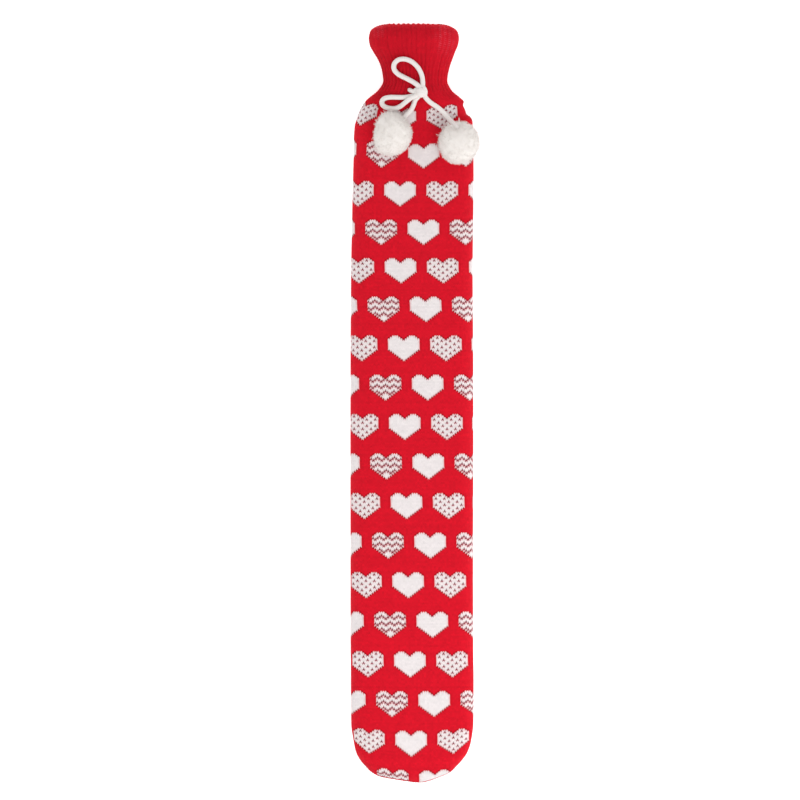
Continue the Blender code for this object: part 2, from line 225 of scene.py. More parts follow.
def make_tube(name, path, radius, sides, relief, colour, wales, course):
    """A tube whose radius is raised by relief(turn, travel); its ends are rounded off."""
    one, two = frames_along(path)
    travel = travelled(path)
    near_end = np.clip(np.minimum(travel, travel[-1] - travel) / TUBE_END, 0.0, 1.0)
    taper = np.sqrt(np.clip(1.0 - (1.0 - near_end) ** 2, TUBE_TIP, 1.0))
    turn = np.linspace(0.0, 1.0, sides, endpoint=False)
    reach = (radius + relief(turn[None, :], travel[:, None])) * taper[:, None]
    angle = 2 * math.pi * turn
    points = (path[:, None] + reach[..., None] * (np.cos(angle)[None, :, None] * one[:, None]
                                                  + np.sin(angle)[None, :, None] * two[:, None]))
    faces, places = grid_faces(len(path), sides, wrap=True)
    places = places * (wales / sides, 1.0)
    places[..., 1] = travel[places[..., 1].astype(int)] / course
    points = np.vstack([points.reshape(-1, 3), path[:1], path[-1:]])
    first, last = len(points) - 2, len(points) - 1
    top = (len(path) - 1) * sides
    caps = [(first, (k + 1) % sides, k) for k in range(sides)]
    caps += [(last, top + k, top + (k + 1) % sides) for k in range(sides)]
    shades = np.broadcast_to(colour, (faces.size + 3 * len(caps), 3))
    return build_piece(name, points, list(faces) + caps,
                       [places, np.zeros((len(caps), 3, 2))], [shades])


def cord_relief(turn, travel):
    """Stitches in columns, each one two raised legs that lean away from each other."""
    leg = (turn * CORD_WALES) % 1.0
    lean = np.abs(leg - 0.5)
    rib = np.abs(np.sin(2 * math.pi * leg))
    beat = 0.5 + 0.5 * np.cos(2 * math.pi * (travel / CORD_COURSE + lean * CORD_LEAN))
    return CORD_RELIEF * ((1 - CORD_BEAT) * rib + CORD_BEAT * beat * rib - 0.5)


def make_cord(name, route, diameter=CORD_DIAMETER):
    """A stretch of the tie: its piece, its path and its length."""
    path = smooth_route(route)
    piece = make_tube(name, path, diameter / 2, CORD_SIDES, cord_relief, CORD_CREAM_AND_RED_BOUNCE,
                      CORD_WALES, CORD_COURSE)
    length = float(travelled(path)[-1])
    print(name, "is", round(length, 1), "mm long")
    return piece, path, length


loop_upper, upper_path, upper_length = make_cord("bow_loop_upper", UPPER_LOOP)
loop_lower, lower_path, lower_length = make_cord("bow_loop_lower", LOWER_LOOP)
tail_left, left_path, left_length = make_cord("bow_tail_left", LEFT_TAIL)
tail_right, right_path, right_length = make_cord("bow_tail_right", RIGHT_TAIL)
stub = make_cord("bow_stub", STUB, STUB_DIAMETER)[0]

# %% [markdown]
# ## The shape of a panel
# Each panel is one piece of knitting from the rounded end to the mouth, drawn over the bottle.
# It could be a plane that is wrapped round the solid. Here its shape is given by cross
# sections, close to those of its solid, because the stitches have to know where on the cloth
# they are. A smooth curve that never swings past its values joins the sections.

# %% Cross sections of the cover
# along, centre, half width, seam height, rise, drop, corner share, rib share
STATIONS = np.array([
    (370.0, 1.8, 24.0, 18.5, 8.6, 8.6, 1.00, 0.5),
    (369.4, 1.8, 29.8, 18.5, 11.4, 11.4, 1.00, 0.5),
    (368.2, 1.8, 35.4, 18.5, 13.9, 13.9, 1.00, 0.5),
    (366.0, 1.9, 39.8, 18.5, 16.0, 16.0, 1.00, 0.5),
    (362.7, 2.1, 42.5, 18.5, 17.6, 17.6, 1.00, 0.4),
    (356.8, 2.2, 43.6, 18.5, 18.5, 18.5, 1.00, 0.4),
    (350.0, 2.1, 42.6, 18.5, 18.2, 18.2, 1.00, 0.4),
    (343.0, 2.5, 39.4, 18.5, 17.4, 17.4, 1.00, 0.5),
    (335.0, 3.4, 35.6, 18.5, 16.5, 16.5, 1.00, 0.6),
    (327.0, 3.6, 32.8, 18.5, 15.6, 15.6, 1.00, 0.8),
    (320.0, 3.5, 31.4, 18.5, 15.1, 15.1, 1.00, 0.9),
    (314.5, 3.5, 30.9, 18.4, 14.9, 14.9, 0.98, 0.9),
    (309.5, 3.3, 33.0, 18.2, 14.8, 14.7, 0.93, 0.7),
    (304.1, 3.0, 36.9, 17.6, 14.6, 14.4, 0.84, 0.4),
    (298.3, 2.9, 44.1, 16.7, 14.2, 14.1, 0.71, 0.15),
    (294.6, 2.9, 47.7, 16.1, 14.0, 13.9, 0.63, 0.0),
    (291.9, 1.3, 48.3, 15.5, 13.7, 13.6, 0.57, 0.0),
    (286.6, 0.9, 51.0, 14.6, 13.4, 13.3, 0.47, 0.0),
    (282.0, 0.8, 52.8, 14.0, 13.1, 13.1, 0.41, 0.0),
    (279.4, 2.2, 55.0, 13.7, 13.0, 13.0, 0.39, 0.0),
    (276.6, 2.6, 56.1, 13.4, 12.9, 12.9, 0.37, 0.0),
    (272.0, 2.1, 57.0, 13.0, 12.7, 12.7, 0.33, 0.0),
    (260.0, 1.6, 57.5, 12.6, 12.5, 12.6, 0.29, 0.0),
    (240.0, 1.8, 58.1, 12.5, 12.5, 12.5, 0.28, 0.0),
    (190.0, 1.1, 58.6, 12.5, 12.5, 12.5, 0.28, 0.0),
    (120.0, 0.2, 58.9, 12.5, 12.5, 12.5, 0.28, 0.0),
    (40.0, 0.2, 59.4, 12.5, 12.5, 12.5, 0.28, 0.0),
    (-50.0, 0.2, 59.5, 12.5, 12.5, 12.5, 0.28, 0.0),
    (-140.0, 0.1, 59.3, 12.5, 12.5, 12.5, 0.28, 0.0),
    (-220.0, 0.2, 59.3, 12.5, 12.5, 12.5, 0.28, 0.0),
    (-280.0, 0.6, 59.4, 12.5, 12.5, 12.5, 0.28, 0.0),
    (-312.0, 0.6, 59.1, 12.5, 12.5, 12.5, 0.28, 0.0),
    (-328.0, 0.7, 57.1, 12.5, 12.3, 12.5, 0.29, 0.0),
    (-340.0, 0.1, 54.0, 12.5, 11.9, 12.1, 0.32, 0.0),
    (-348.0, -0.5, 49.1, 12.5, 11.1, 11.3, 0.36, 0.0),
    (-354.0, -0.8, 43.9, 12.5, 10.1, 10.3, 0.41, 0.0),
    (-359.0, -0.7, 38.7, 12.5, 8.9, 9.1, 0.48, 0.0),
    (-363.0, -1.2, 30.9, 12.5, 7.4, 7.5, 0.60, 0.0),
    (-366.2, 2.8, 18.6, 12.5, 5.4, 5.5, 0.80, 0.0),
    (-368.5, 6.4, 7.4, 12.5, 3.2, 3.2, 1.00, 0.0),
    (-370.0, 6.8, 0.0, 12.5, 0.15, 0.15, 1.00, 0.0),
])


def smooth_between(marks, values, at):
    """A smooth curve through values that never swings past them."""
    step = np.diff(marks)
    slope = np.diff(values) / step
    turn = np.zeros(len(values))
    turn[0], turn[-1] = slope[0], slope[-1]
    steady = slope[:-1] * slope[1:] > 0
    near, far = step[1:] + 2 * step[:-1], 2 * step[1:] + step[:-1]
    safe = np.where(steady, slope[:-1], 1.0), np.where(steady, slope[1:], 1.0)
    turn[1:-1] = np.where(steady, (near + far) / (far / safe[0] + near / safe[1]), 0.0)
    k = np.clip(np.searchsorted(marks, at, side="right") - 1, 0, len(step) - 1)
    t = (at - marks[k]) / step[k]
    return ((1 + 2 * t) * (1 - t) ** 2 * values[k] + t ** 2 * (3 - 2 * t) * values[k + 1]
            + step[k] * (t * (1 - t) ** 2 * turn[k] - t ** 2 * (1 - t) * turn[k + 1]))


def seam_height(along):
    """Height of the side seam above the table."""
    return np.interp(along, STATIONS[::-1, 0], STATIONS[::-1, 3])


print("sections:", len(STATIONS), "over", np.ptp(STATIONS[:, 0]), "mm")

# %% [markdown]
# A section is a half hoop: level in the middle and rounded at both sides, down to the seam.
# The front bulges a little more than the back, which lies on the table. All sections are kept
# as one fine table of points, so that any place on the cloth can be looked up by its length
# down from the mouth and its length across from the middle, as a tape measure on the cloth
# would read them.

# %% A panel's surface as a table
CORNER_POWER = 2.2              # roundness of a section's corners
LEAST_CORNER = 0.01
FRONT_CROWN = 2.0               # how far the front's middle bulges
SEAM_HALF_GAP = 0.15            # from the seam's middle to each panel
WOOL_FUZZ = 0.4                 # the outline is soft, and a little wider than the solid's
TABLE_STEP = 0.5                # millimetres between the table's rows
TABLE_COLUMNS = 201
SIDE_ROUND = 2.5                # how near the outline the cloth turns down the side
SIDE_STRETCH = 1.2              # the wales on the side are pulled apart a little
TINY = 1e-9                     # keeps a size of nothing from being divided by


def hoop(side, share, half, depth, corner):
    """Sideways and upwards from a section's seam, at shares of its half width."""
    corner = np.clip(corner, LEAST_CORNER, 1.0)
    bend = np.clip((np.abs(share) - 1 + corner) / corner, 0.0, 1.0)
    lift = (1 - bend ** CORNER_POWER) ** (1 / CORNER_POWER)
    if side > 0:
        depth = depth + FRONT_CROWN * (1 - corner) * (1 - share ** 2)
    height = SEAM_HALF_GAP + np.clip(depth - SEAM_HALF_GAP, 0.0, None) * lift
    return half * share, side * height


class Cloth:
    """The outer face of one panel; side is 1 for the front and -1 for the back."""

    def __init__(self, side):
        along, centre, half, seam, rise, drop, corner, rib = STATIONS.T
        depth = rise if side > 0 else drop
        steps = np.hypot(np.diff(along), np.diff(seam + side * depth))
        marks = np.append(0.0, np.cumsum(steps))
        self.length = marks[-1]
        self.downs = np.linspace(0.0, self.length, round(self.length / TABLE_STEP) + 1)
        along, centre, half, seam, depth, corner, rib = [
            smooth_between(marks, values, self.downs)[:, None]
            for values in (along, centre, half, seam, depth, corner, rib)]
        half = half + WOOL_FUZZ
        share = np.sin(np.linspace(-math.pi / 2, math.pi / 2, 2 * TABLE_COLUMNS + 1))[None, :]
        wide, high = hoop(side, share, half, depth, corner)
        self.centre, self.half = centre[:, 0], half[:, 0]
        self.along, self.rib = along[:, 0], rib[:, 0]
        self.spread_out(share[0], centre + wide, seam + high)
        way = np.cross(np.gradient(self.points, axis=1), np.gradient(self.points, axis=0)) * -side
        self.normals = way / np.maximum(np.linalg.norm(way, axis=-1, keepdims=True), TINY)

    def spread_out(self, share, x, z):
        """The sections' points at even lengths over the cloth, in a table of equal rows."""
        measure = np.hypot(np.diff(x, axis=1), np.diff(z, axis=1)).cumsum(axis=1)
        measure = np.hstack([np.zeros((len(x), 1)), measure])
        self.reach = measure[:, -1] / 2
        even = np.linspace(0.0, 1.0, TABLE_COLUMNS)
        self.points = np.zeros((len(x), TABLE_COLUMNS, 3))
        self.arcs = np.zeros((len(x), TABLE_COLUMNS, 1))
        for row in range(len(x)):
            at = even * measure[row, -1]
            self.points[row, :, 0] = np.interp(at, measure[row], x[row])
            self.points[row, :, 1] = self.along[row]
            self.points[row, :, 2] = np.interp(at, measure[row], z[row])
            self.arcs[row, :, 0] = np.interp(2 * even - 1, share, measure[row]) - self.reach[row]

    def at(self, values, down):
        """A value of the table's rows at a length down from the mouth."""
        return np.interp(down, self.downs, values)

    def look_up(self, table, down, place):
        """A table's entry at a length down, and at a place from -1 to 1 across."""
        row = np.clip(down / self.length, 0.0, 1.0) * (len(self.downs) - 1)
        column = (np.clip(place, -1.0, 1.0) + 1) / 2 * (TABLE_COLUMNS - 1)
        r = np.clip(row.astype(int), 0, len(self.downs) - 2)
        c = np.clip(column.astype(int), 0, TABLE_COLUMNS - 2)
        down_share, across_share = (row - r)[..., None], (column - c)[..., None]
        upper = table[r, c] * (1 - across_share) + table[r, c + 1] * across_share
        lower = table[r + 1, c] * (1 - across_share) + table[r + 1, c + 1] * across_share
        return upper * (1 - down_share) + lower * down_share

    def over_cloth(self, down, offset, side_round=SIDE_ROUND):
        """Length over the cloth, from the middle, of a sideways offset seen from above."""
        half = np.maximum(self.at(self.half, down), TINY)
        limit = np.clip(half - side_round, 0.0, None)
        seen = np.clip(offset, -limit, limit)
        length = self.look_up(self.arcs, down, seen / half)[..., 0]
        return length + (offset - seen) * SIDE_STRETCH


front_cloth, back_cloth = Cloth(1), Cloth(-1)
print("cloth:", round(front_cloth.length, 1), "mm long,",
      round(2 * front_cloth.reach.max(), 1), "mm across the body")

# %% [markdown]
# ## Where each stitch lies
# Columns of stitches are wales, and rows are courses. A wale is about 2 mm wide and a course
# 1.5 mm high, but the courses are drawn closer at the shoulders and stretched in the neck. The
# cloth leans a little on the bottle, and its courses curve up towards the sides at the
# shoulders and at the end. An image of knitting laid over the cover would show none of this.
# So the lattice is worked out, from small tables that were counted on the photograph.

# %% Sizes of the lattice
WALE = 2.06
WALES = 72                      # enough to run past both side seams
NECK_HALF_WALES = 32.5
LEAN = 0.020                    # sideways drift of the wales for each length down
MATCH_ALONG = -22.8             # where the lattice was matched to the photograph
MATCH_SHIFT = 0.50
# along, height of a course, rise of the courses 60 mm from the middle
COURSES = np.array([
    (370.0, 2.10, 0.0), (322.0, 2.05, 0.0), (306.0, 1.60, 6.0), (298.0, 1.37, 8.5),
    (286.0, 1.30, 10.0), (274.0, 1.38, 10.0), (262.0, 1.47, 8.0), (242.0, 1.45, 4.8),
    (215.0, 1.48, 0.5), (190.0, 1.50, 0.1), (120.0, 1.50, 0.0), (60.0, 1.53, 0.0),
    (-60.0, 1.545, 0.0), (-280.0, 1.548, 0.6), (-322.0, 1.548, 3.4), (-345.0, 1.548, 7.0),
    (-370.0, 1.548, 12.5)])
# along, and how far the wales wander from a straight line there
WANDER = np.array([
    (300.0, 1.8), (285.0, 1.8), (243.0, 1.2), (207.0, -0.1), (169.0, -0.7), (132.0, -1.1),
    (95.0, 0.1), (57.0, 0.6), (18.0, 0.5), (-20.0, 0.0), (-59.0, -0.5), (-98.0, 0.2),
    (-136.0, -0.2), (-174.0, 0.2), (-213.0, 0.4), (-251.0, 0.4), (-290.0, 0.7), (-329.0, 0.0)])
# along, and how far the neck draws the left and the right wales in there
DRAWN_IN = np.array([
    (232.0, 0.0, 0.0), (247.0, 0.018, 0.004), (272.0, 0.040, 0.017), (292.0, 0.117, 0.02),
    (305.0, 0.14, 0.02)])

print("wales:", WALES, "of", WALE, "mm, and courses of", COURSES[:, 1].min(), "to",
      COURSES[:, 1].max(), "mm")

# %% [markdown]
# The courses come first. They are counted down from the mouth, each as high as the table says
# for its place, and the whole count is shifted by part of a course, so that the middle row of
# hearts lands where the photograph has it.

# %% Courses
EXTRA_COURSES = 12              # the curve lifts some courses past the end onto the cloth
INNER_ROWS = 4                  # courses to one row of the inner face
CURVE_REACH = 60.0              # from the middle, where the table's rise is measured
SHOULDER_REACH = 0.8            # past this share of it, the shoulders' courses run level
END_SAG = 2.2                   # the last courses hang lower to the right, by this
SAG_ZONE = (-342.0, -354.0)
SAG_REACH = 33.0
SAG_MOST = 1.2


def smooth_step(low, high, value):
    """From 0 at low to 1 at high, without a corner."""
    t = np.clip((value - low) / (high - low), 0.0, 1.0)
    return t * t * (3 - 2 * t)


def from_courses(along, column):
    """A column of the courses' table, at a place along the cover."""
    return np.interp(along, COURSES[::-1, 0], COURSES[::-1, column])


def course_marks(cloth):
    """Lengths down from the mouth where courses begin, and the matched one's number."""
    height = from_courses(cloth.along, 1)
    step = np.diff(cloth.downs) * 2 / (height[1:] + height[:-1])
    count = np.append(0.0, np.cumsum(step))
    match_count = float(np.interp(-MATCH_ALONG, -cloth.along, count))
    count += round(match_count) - match_count
    rows = math.ceil(count[-1]) + EXTRA_COURSES
    rows += -rows % INNER_ROWS
    index = np.arange(rows + 1)
    down = np.interp(index, count, cloth.downs)
    down += np.clip(index - count[-1], 0.0, None) * height[-1]
    down[0] = 0.0
    return down, round(match_count)


def course_rise(along, across):
    """How far a course is drawn up towards the mouth."""
    share = np.abs(across) / CURVE_REACH
    share = np.where(along > 0.0, np.minimum(share, SHOULDER_REACH), share)
    sag = END_SAG * smooth_step(*SAG_ZONE, along) * np.clip(across / SAG_REACH, 0.0, SAG_MOST)
    return from_courses(along, 2) * share ** 2 - sag


print("front:", len(course_marks(front_cloth)[0]) - 1, "courses of", WALES, "wales")

# %% [markdown]
# The wales run down the cloth side by side. In the ribbed neck they are drawn together, and
# over the flare they spread as far as its widest place. On the body they keep their width, so
# that the outline cuts straight across them at the shoulders.

# %% Wales
NECK_TO_BODY = (304.0, 284.0)   # where the neck's spacing turns into the body's
MOUTH_ZONE = (348.0, 358.0)     # above this, the flare's widest place sets the wales


def sideways(side, wale, along):
    """How far left or right a wale of the body lies, seen from above."""
    wander = np.interp(-along, -WANDER[:, 0], WANDER[:, 1])
    place = WALE * wale + side * (LEAN * (MATCH_ALONG - along) + wander) + MATCH_SHIFT
    left, right = [np.interp(along, DRAWN_IN[:, 0], DRAWN_IN[:, k]) for k in (1, 2)]
    return place * (1 - np.where(place < 0.0, left, right))


def widest_row(cloth):
    """The row of the cloth's table at the widest place of the flare."""
    return np.argmax(np.where(cloth.along > MOUTH_ZONE[0], cloth.half, 0.0))


def flare_offset(cloth, wale):
    """How far sideways a wale lies at the widest place of the flare, seen from above."""
    widest = widest_row(cloth)
    down = np.full(wale.shape, cloth.downs[widest])
    points = cloth.look_up(cloth.points, down, wale / NECK_HALF_WALES)
    return points[..., 0] - cloth.centre[widest]


def across_of(cloth, side, wale, down):
    """Length across, from a section's middle, of a wale at a length down."""
    along = cloth.at(cloth.along, down)
    body = cloth.over_cloth(down, sideways(side, wale, along) - cloth.at(cloth.centre, down))
    neck = cloth.at(cloth.reach, down) * wale / NECK_HALF_WALES
    mouth = cloth.over_cloth(down, flare_offset(cloth, wale), side_round=0.0)
    share = smooth_step(*MOUTH_ZONE, along)
    neck = neck * (1 - share) + mouth * share
    share = smooth_step(*NECK_TO_BODY, along)
    return neck * (1 - share) + body * share


middle_drift = sideways(1, 0.0, STATIONS[0, 0]) - sideways(1, 0.0, STATIONS[-1, 0])
print("the front's middle wale drifts", round(float(middle_drift), 1), "mm from end to mouth")

# %% [markdown]
# At the mouth each wale starts where the rim crosses it, and at the closed end it runs over
# the edge and stops at the seam. Between the two, the points of the lattice lie half a wale
# apart, and every second one is nearer the mouth, because a stitch's two legs meet there.

# %% The lattice of stitches
CHEVRON = 0.95                  # height of a stitch's point, as a share of its course
SETTLE = 8.0                    # length down over which the rim's even edge turns into points
MOUTH_REACH = 45.0              # and over which the wales' uneven start is evened out
END_ZONE = -336.0               # below this, the seam round the end stops the wales
HALF_WALES = np.arange(2 * WALES + 1)
LATTICE_WALES = HALF_WALES / 2 - WALES / 2


def wale_starts(cloth, wale, down):
    """Lengths down, with each wale started where the rim of the mouth crosses it."""
    zone = np.arange(widest_row(cloth) + 1)
    start = np.interp(np.abs(flare_offset(cloth, wale)), cloth.half[zone], cloth.downs[zone])
    return np.where(down < MOUTH_REACH, start + down * (1 - start / MOUTH_REACH), down)


def wale_ends(cloth, side, wale):
    """Length down at which each wale has run over the closed end's edge, down to the seam."""
    zone = np.flatnonzero(cloth.along < END_ZONE)[:, None]
    down, half = cloth.downs[zone], cloth.half[zone]
    edge = half + (cloth.reach[zone] - cloth.over_cloth(down, half)) / SIDE_STRETCH
    spare = edge - np.abs(sideways(side, wale, cloth.along[zone]) - cloth.centre[zone])
    past = spare < 0
    past[-1] = True
    last = np.maximum(np.argmax(past, axis=0), 1)
    one = np.arange(past.shape[1])
    before, after = spare[last - 1, one], spare[last, one]
    share = np.clip(before / np.maximum(before - after, TINY), 0.0, 1.0)
    return down[last - 1, 0] * (1 - share) + down[last, 0] * share


def lattice(cloth, side):
    """Down and across of every point of the lattice, and the number of the matched row."""
    down, match_row = course_marks(cloth)
    down, wale = down[:, None], LATTICE_WALES[None, :]
    along = cloth.at(cloth.along, down)
    tip = CHEVRON * from_courses(along, 1) * (HALF_WALES % 2 - 0.5)
    rise = course_rise(along, across_of(cloth, side, wale, down))
    down = np.clip(down - smooth_step(0.0, SETTLE, down) * (rise + tip), 0.0, cloth.length)
    down = wale_starts(cloth, wale, down)
    ends = wale_ends(cloth, side, wale)
    ended = down >= ends
    down = np.minimum(down, ends)
    across = across_of(cloth, side, wale, down)
    reach = cloth.at(cloth.reach, down)
    across = np.where(ended, np.copysign(reach, across), np.clip(across, -reach, reach))
    return down, across, match_row


print("lattice of the front:", lattice(front_cloth, 1)[0].shape, "points")

# %% [markdown]
# ## The hearts
# Two yarns are knitted together: red for the ground and white for the hearts. The hearts come
# in three kinds, plain, with dots and with zigzag lines, each 15 stitches wide and 16 courses
# high, in rows that are 25 courses apart. They could be painted, but knitted hearts have the
# stepped edges of their stitches. A chart like a knitter's holds the outline, and the dots
# and lines follow a rule, because they repeat every four stitches.

# %% The knitter's chart
HEART = ["..###.....###..",
         ".#####...#####.",
         "#######.#######",
         "###############",
         "###############",
         "###############",
         "###############",
         "###############",
         "###############",
         ".#############.",
         "..###########..",
         "...#########...",
         "....#######....",
         ".....#####.....",
         "......###......",
         ".......#......."]
HEART_SPACING = 20              # wales from one heart to the next
ROW_SPACING = 25                # courses from one row of hearts to the next
FIRST_BAND = -8                 # rows of hearts above the matched one
MIDDLE_WALE = 32                # the wale through the plain hearts of the matched row
BAND_SHIFT = 11                 # wales between the plain hearts of two rows
REPEAT = 4                      # stitches from one dot or peak to the next
ZIGZAG_ROWS = (2, 13)           # rows of a heart's chart that the lines cross

heart_chart = np.array([[mark == "#" for mark in line] for line in HEART])
HEART_HIGH, HEART_WIDE = heart_chart.shape


def heart_mask(rows, match_row):
    """True where a stitch is white, for each row and wale of the lattice."""
    r = np.arange(rows)[:, None] - match_row + HEART_HIGH // 2
    band = r // ROW_SPACING
    row = r - band * ROW_SPACING
    wale = np.arange(WALES)[None, :] - MIDDLE_WALE - BAND_SHIFT * (band % 2) + HEART_WIDE // 2
    number = wale // HEART_SPACING
    column = wale - number * HEART_SPACING
    inside = (row < HEART_HIGH) & (column < HEART_WIDE) & (band >= FIRST_BAND)
    chart = heart_chart[np.minimum(row, HEART_HIGH - 1), np.minimum(column, HEART_WIDE - 1)]
    dots = (row % 2 == 1) & ((row + column) % REPEAT == 0)
    peak = np.abs((column - 1) % REPEAT - REPEAT // 2)
    first, end = ZIGZAG_ROWS
    lines = (row >= first) & (row < end) & ((row - first - peak) % REPEAT == 0)
    fancy = number % 2 == 1
    return inside & chart & ~(fancy & np.where(band % 2 == 0, dots, lines))


print("a plain heart has", int(heart_chart.sum()), "white stitches")

# %% [markdown]
# Each stitch gets its yarn's colour with a little chance in it, as spun yarn has. Where red
# meets white, the red stitch sinks between the thicker white ones, and the shade it gets there
# is painted into its colour, most of all where white stitches stand on three or four sides of it.

# %% Yarn colours
RED = np.array((0.73, 0.0062, 0.021))
WHITE = np.array((0.90, 0.835, 0.835))
STITCH_SPREAD = 0.045           # unevenness of the yarn from stitch to stitch
COURSE_SPREAD = 0.02            # and from course to course
WHITE_EVENNESS = 0.6            # white yarn shows less of it
# painted shade on red next to white: deeper in a step of an edge, deepest where it stands alone
SUNK_PAINTED_SHADE = 0.88               # red with white on one side
STEP_SHADE_EDGE, STEP_SHADE_CORE = 0.85, 0.22       # red in a step of a heart's edge
LONE_SHADE_EDGE = np.array((0.44, 0.006, 0.035))      # red with white on three or four sides
LONE_SHADE_CORE = np.array((0.10, 0.001, 0.014))
LONE_SIDES = 3
PINK_EDGE = 0.09                # red that shows through a white stitch at the edge


def neighbours(mask):
    """How many of the four stitches round each one are marked."""
    wide = np.pad(mask, 1, mode="edge").astype(int)
    return wide[:-2, 1:-1] + wide[2:, 1:-1] + wide[1:-1, :-2] + wide[1:-1, 2:]


def stitch_colours(white, dice):
    """Each stitch's colour at its sides and along its middle, where the white yarns close in,
    with painted shade on red beside white.
    """
    rows, wales = white.shape
    shade = 1 + STITCH_SPREAD * dice.standard_normal((rows, wales))
    shade += COURSE_SPREAD * dice.standard_normal((rows, 1))
    beside_white = neighbours(white)
    pink = (PINK_EDGE * (4 - beside_white))[..., None]
    pale = WHITE * (1 - pink) * shade[..., None] ** WHITE_EVENNESS + RED * pink
    both = []
    for step, lone in ((STEP_SHADE_EDGE, LONE_SHADE_EDGE), (STEP_SHADE_CORE, LONE_SHADE_CORE)):
        red = RED * np.array((1.0, SUNK_PAINTED_SHADE, step, 1.0, 1.0))[beside_white][..., None]
        red = np.where((beside_white >= LONE_SIDES)[..., None], lone, red) * shade[..., None]
        both.append(np.clip(np.where(white[..., None], pale, red), 0.0, 1.0))
    return both


print("red", RED, "and white", WHITE)

# %% [markdown]
# The neck is knitted as a rib: two knit wales, and a purl one that sinks between them into a
# valley, whose shade is painted into the colour. The ribbing as a whole gets painted shade,
# lighter to the right where the light falls. At the mouth it is stretched so far that the white
# yarn, which is carried behind the red, peeks out between the stitches.

# %% Shades of the ribbing
RIB_WALES = 3                   # two knit wales and a sunken purl one
VALLEY_PAINTED_SHADE = 0.15             # painted shade: how much darker the ribbing's valleys are
VALLEY_SPREAD = (0.0, 2.0)      # and by how much that varies
VALLEY_ROWS = 8                 # courses over which a valley stays the same
NECK_PAINTED_SHADE = 0.10               # painted shade: the ribbing's dense folds make the neck darker than the body
NECK_PAINTED_LIGHT = 0.13               # painted light: the ribbing is lighter to the right, where the key lamp falls, than to the left
PEEK_CHANCE = (0.1, 1.0)        # how much of the white yarn each rib lets through
# down, across (millimetres), half sizes, and how strongly the hidden white yarn shows
FLOAT_PATCHES = [(15.0, 32.0, 17.0, 12.0, 0.85), (9.0, -37.0, 7.0, 7.0, 1.0)]


def painted_rib_shade(cloth, down, across, dice):
    """Painted shade and light of the ribbing, no two valleys alike, and how far the white behind
    it peeks out.
    """
    rows, wales = down.shape
    valley = (np.arange(wales) % RIB_WALES == 1)[None, :]
    uneven = dice.uniform(*VALLEY_SPREAD, (rows // VALLEY_ROWS + 1, wales))
    uneven = np.repeat(uneven, VALLEY_ROWS, axis=0)[:rows]
    to_right = across / np.maximum(cloth.at(cloth.reach, down), 1.0)
    # painted shade over the neck and in its valleys, and painted light towards its right
    shade = 1 - cloth.at(cloth.rib, down) * (NECK_PAINTED_SHADE + VALLEY_PAINTED_SHADE * valley * uneven
                                             - NECK_PAINTED_LIGHT * to_right)
    peek = np.zeros(down.shape)
    for at_down, at_across, high, wide, most in FLOAT_PATCHES:
        far = ((down - at_down) / high) ** 2 + ((across - at_across) / wide) ** 2
        peek = np.maximum(peek, most * np.exp(-far ** 2))
    chance = np.repeat(dice.uniform(*PEEK_CHANCE, (rows, wales // RIB_WALES)), RIB_WALES, axis=1)
    return shade, peek * chance


print("ribs:", WALES // RIB_WALES, "to a panel")

# %% [markdown]
# A stitch's two halves are one face each, and their corners can differ in colour. That is how
# a stitch reaches into its neighbours: a lone red one into the white one above it, and the
# red ground over the straight sides of a heart.

# %% Colours of the stitches' corners
EDGE_LAP = 0.5                  # how far red laps over the straight sides of a heart
# red stitches carry their painted shade with them where they reach into white neighbours
REACH_UP = 0.8                  # how far a lone red stitch reaches into the one above it
LONE_LAP = 0.35                 # and into the ones beside it
PEEK_PROFILE = np.array((0.0, 0.4, 1.0, 1.0, 1.0, 0.4))     # over a rib's half wales


def corner_colours(sides, middle, white, peek, flip):
    """Colours of the corners of each stitch's two halves; the fourth number is 1 - peek."""
    rows, wales = white.shape
    corners = np.ones((rows, 2 * wales, 4, 4))
    red = ~white
    lone = red & (neighbours(white) >= LONE_SIDES)
    reach_up = (np.roll(lone, -1, axis=0) & white)[..., None] * REACH_UP
    under = np.roll(middle, -1, axis=0)
    straight = np.pad(white, ((1, 1), (0, 0)), mode="edge")
    straight = white & straight[:-2] & straight[2:]
    beside, crowd = [np.pad(mask, ((0, 0), (1, 1)), mode="edge") for mask in (red & ~lone, lone)]
    for half, outer, inner, low, near in (
            (0, (0, 3), (1, 2), 1 if flip else 2, slice(None, -2)),
            (1, (1, 2), (0, 3), 0 if flip else 3, slice(2, None))):
        lap = (straight & beside[:, near])[..., None] * EDGE_LAP
        spot = (white & crowd[:, near])[..., None] * LONE_LAP
        for corner in outer:
            corners[:, half::2, corner, :3] = (sides * (1 - lap - spot) + RED * lap
                                               + LONE_SHADE_EDGE * spot)
        for corner in inner:
            corners[:, half::2, corner, :3] = middle
        corners[:, half::2, low, :3] = middle * (1 - reach_up) + under * reach_up
    column = np.arange(2 * wales)
    strength = np.repeat(peek, 2, axis=1)
    for corner in range(4):
        far = PEEK_PROFILE[(column + (corner in (1, 2))) % (2 * RIB_WALES)]
        corners[:, :, corner, 3] = 1 - strength * far
    return corners.reshape(-1, 4)


def knit_colours(cloth, side, down, across, match_row, dice):
    """Colours of all corners of a panel's outer face."""
    white = heart_mask(len(down) - 1, match_row)
    sides, middle = stitch_colours(white, dice)
    shade, peek = painted_rib_shade(cloth, down[:-1, 1::2], across[:-1, 1::2], dice)
    # the ribbing's painted shade and light go into the stitches' colours
    sides, middle = sides * shade[..., None], middle * shade[..., None]
    return corner_colours(sides, middle, white, peek, side > 0)


print("white yarn shows through on", len(FLOAT_PATCHES), "patches of the mouth")

# %% [markdown]
# ## The panels
# A panel is a closed shell: the stitches outside, a plain face inside, and a rim between them
# at the mouth and along the seams. The two panels have some 70,000 stitches, too many to pull
# out one by one, so each point is placed on the cloth and then raised or sunk. The ribs of
# the neck are two knit wales between sunken purl ones, and every wale is a low ridge. The
# cast-off edge of the mouth waves with the ribs and bulges between its corners.

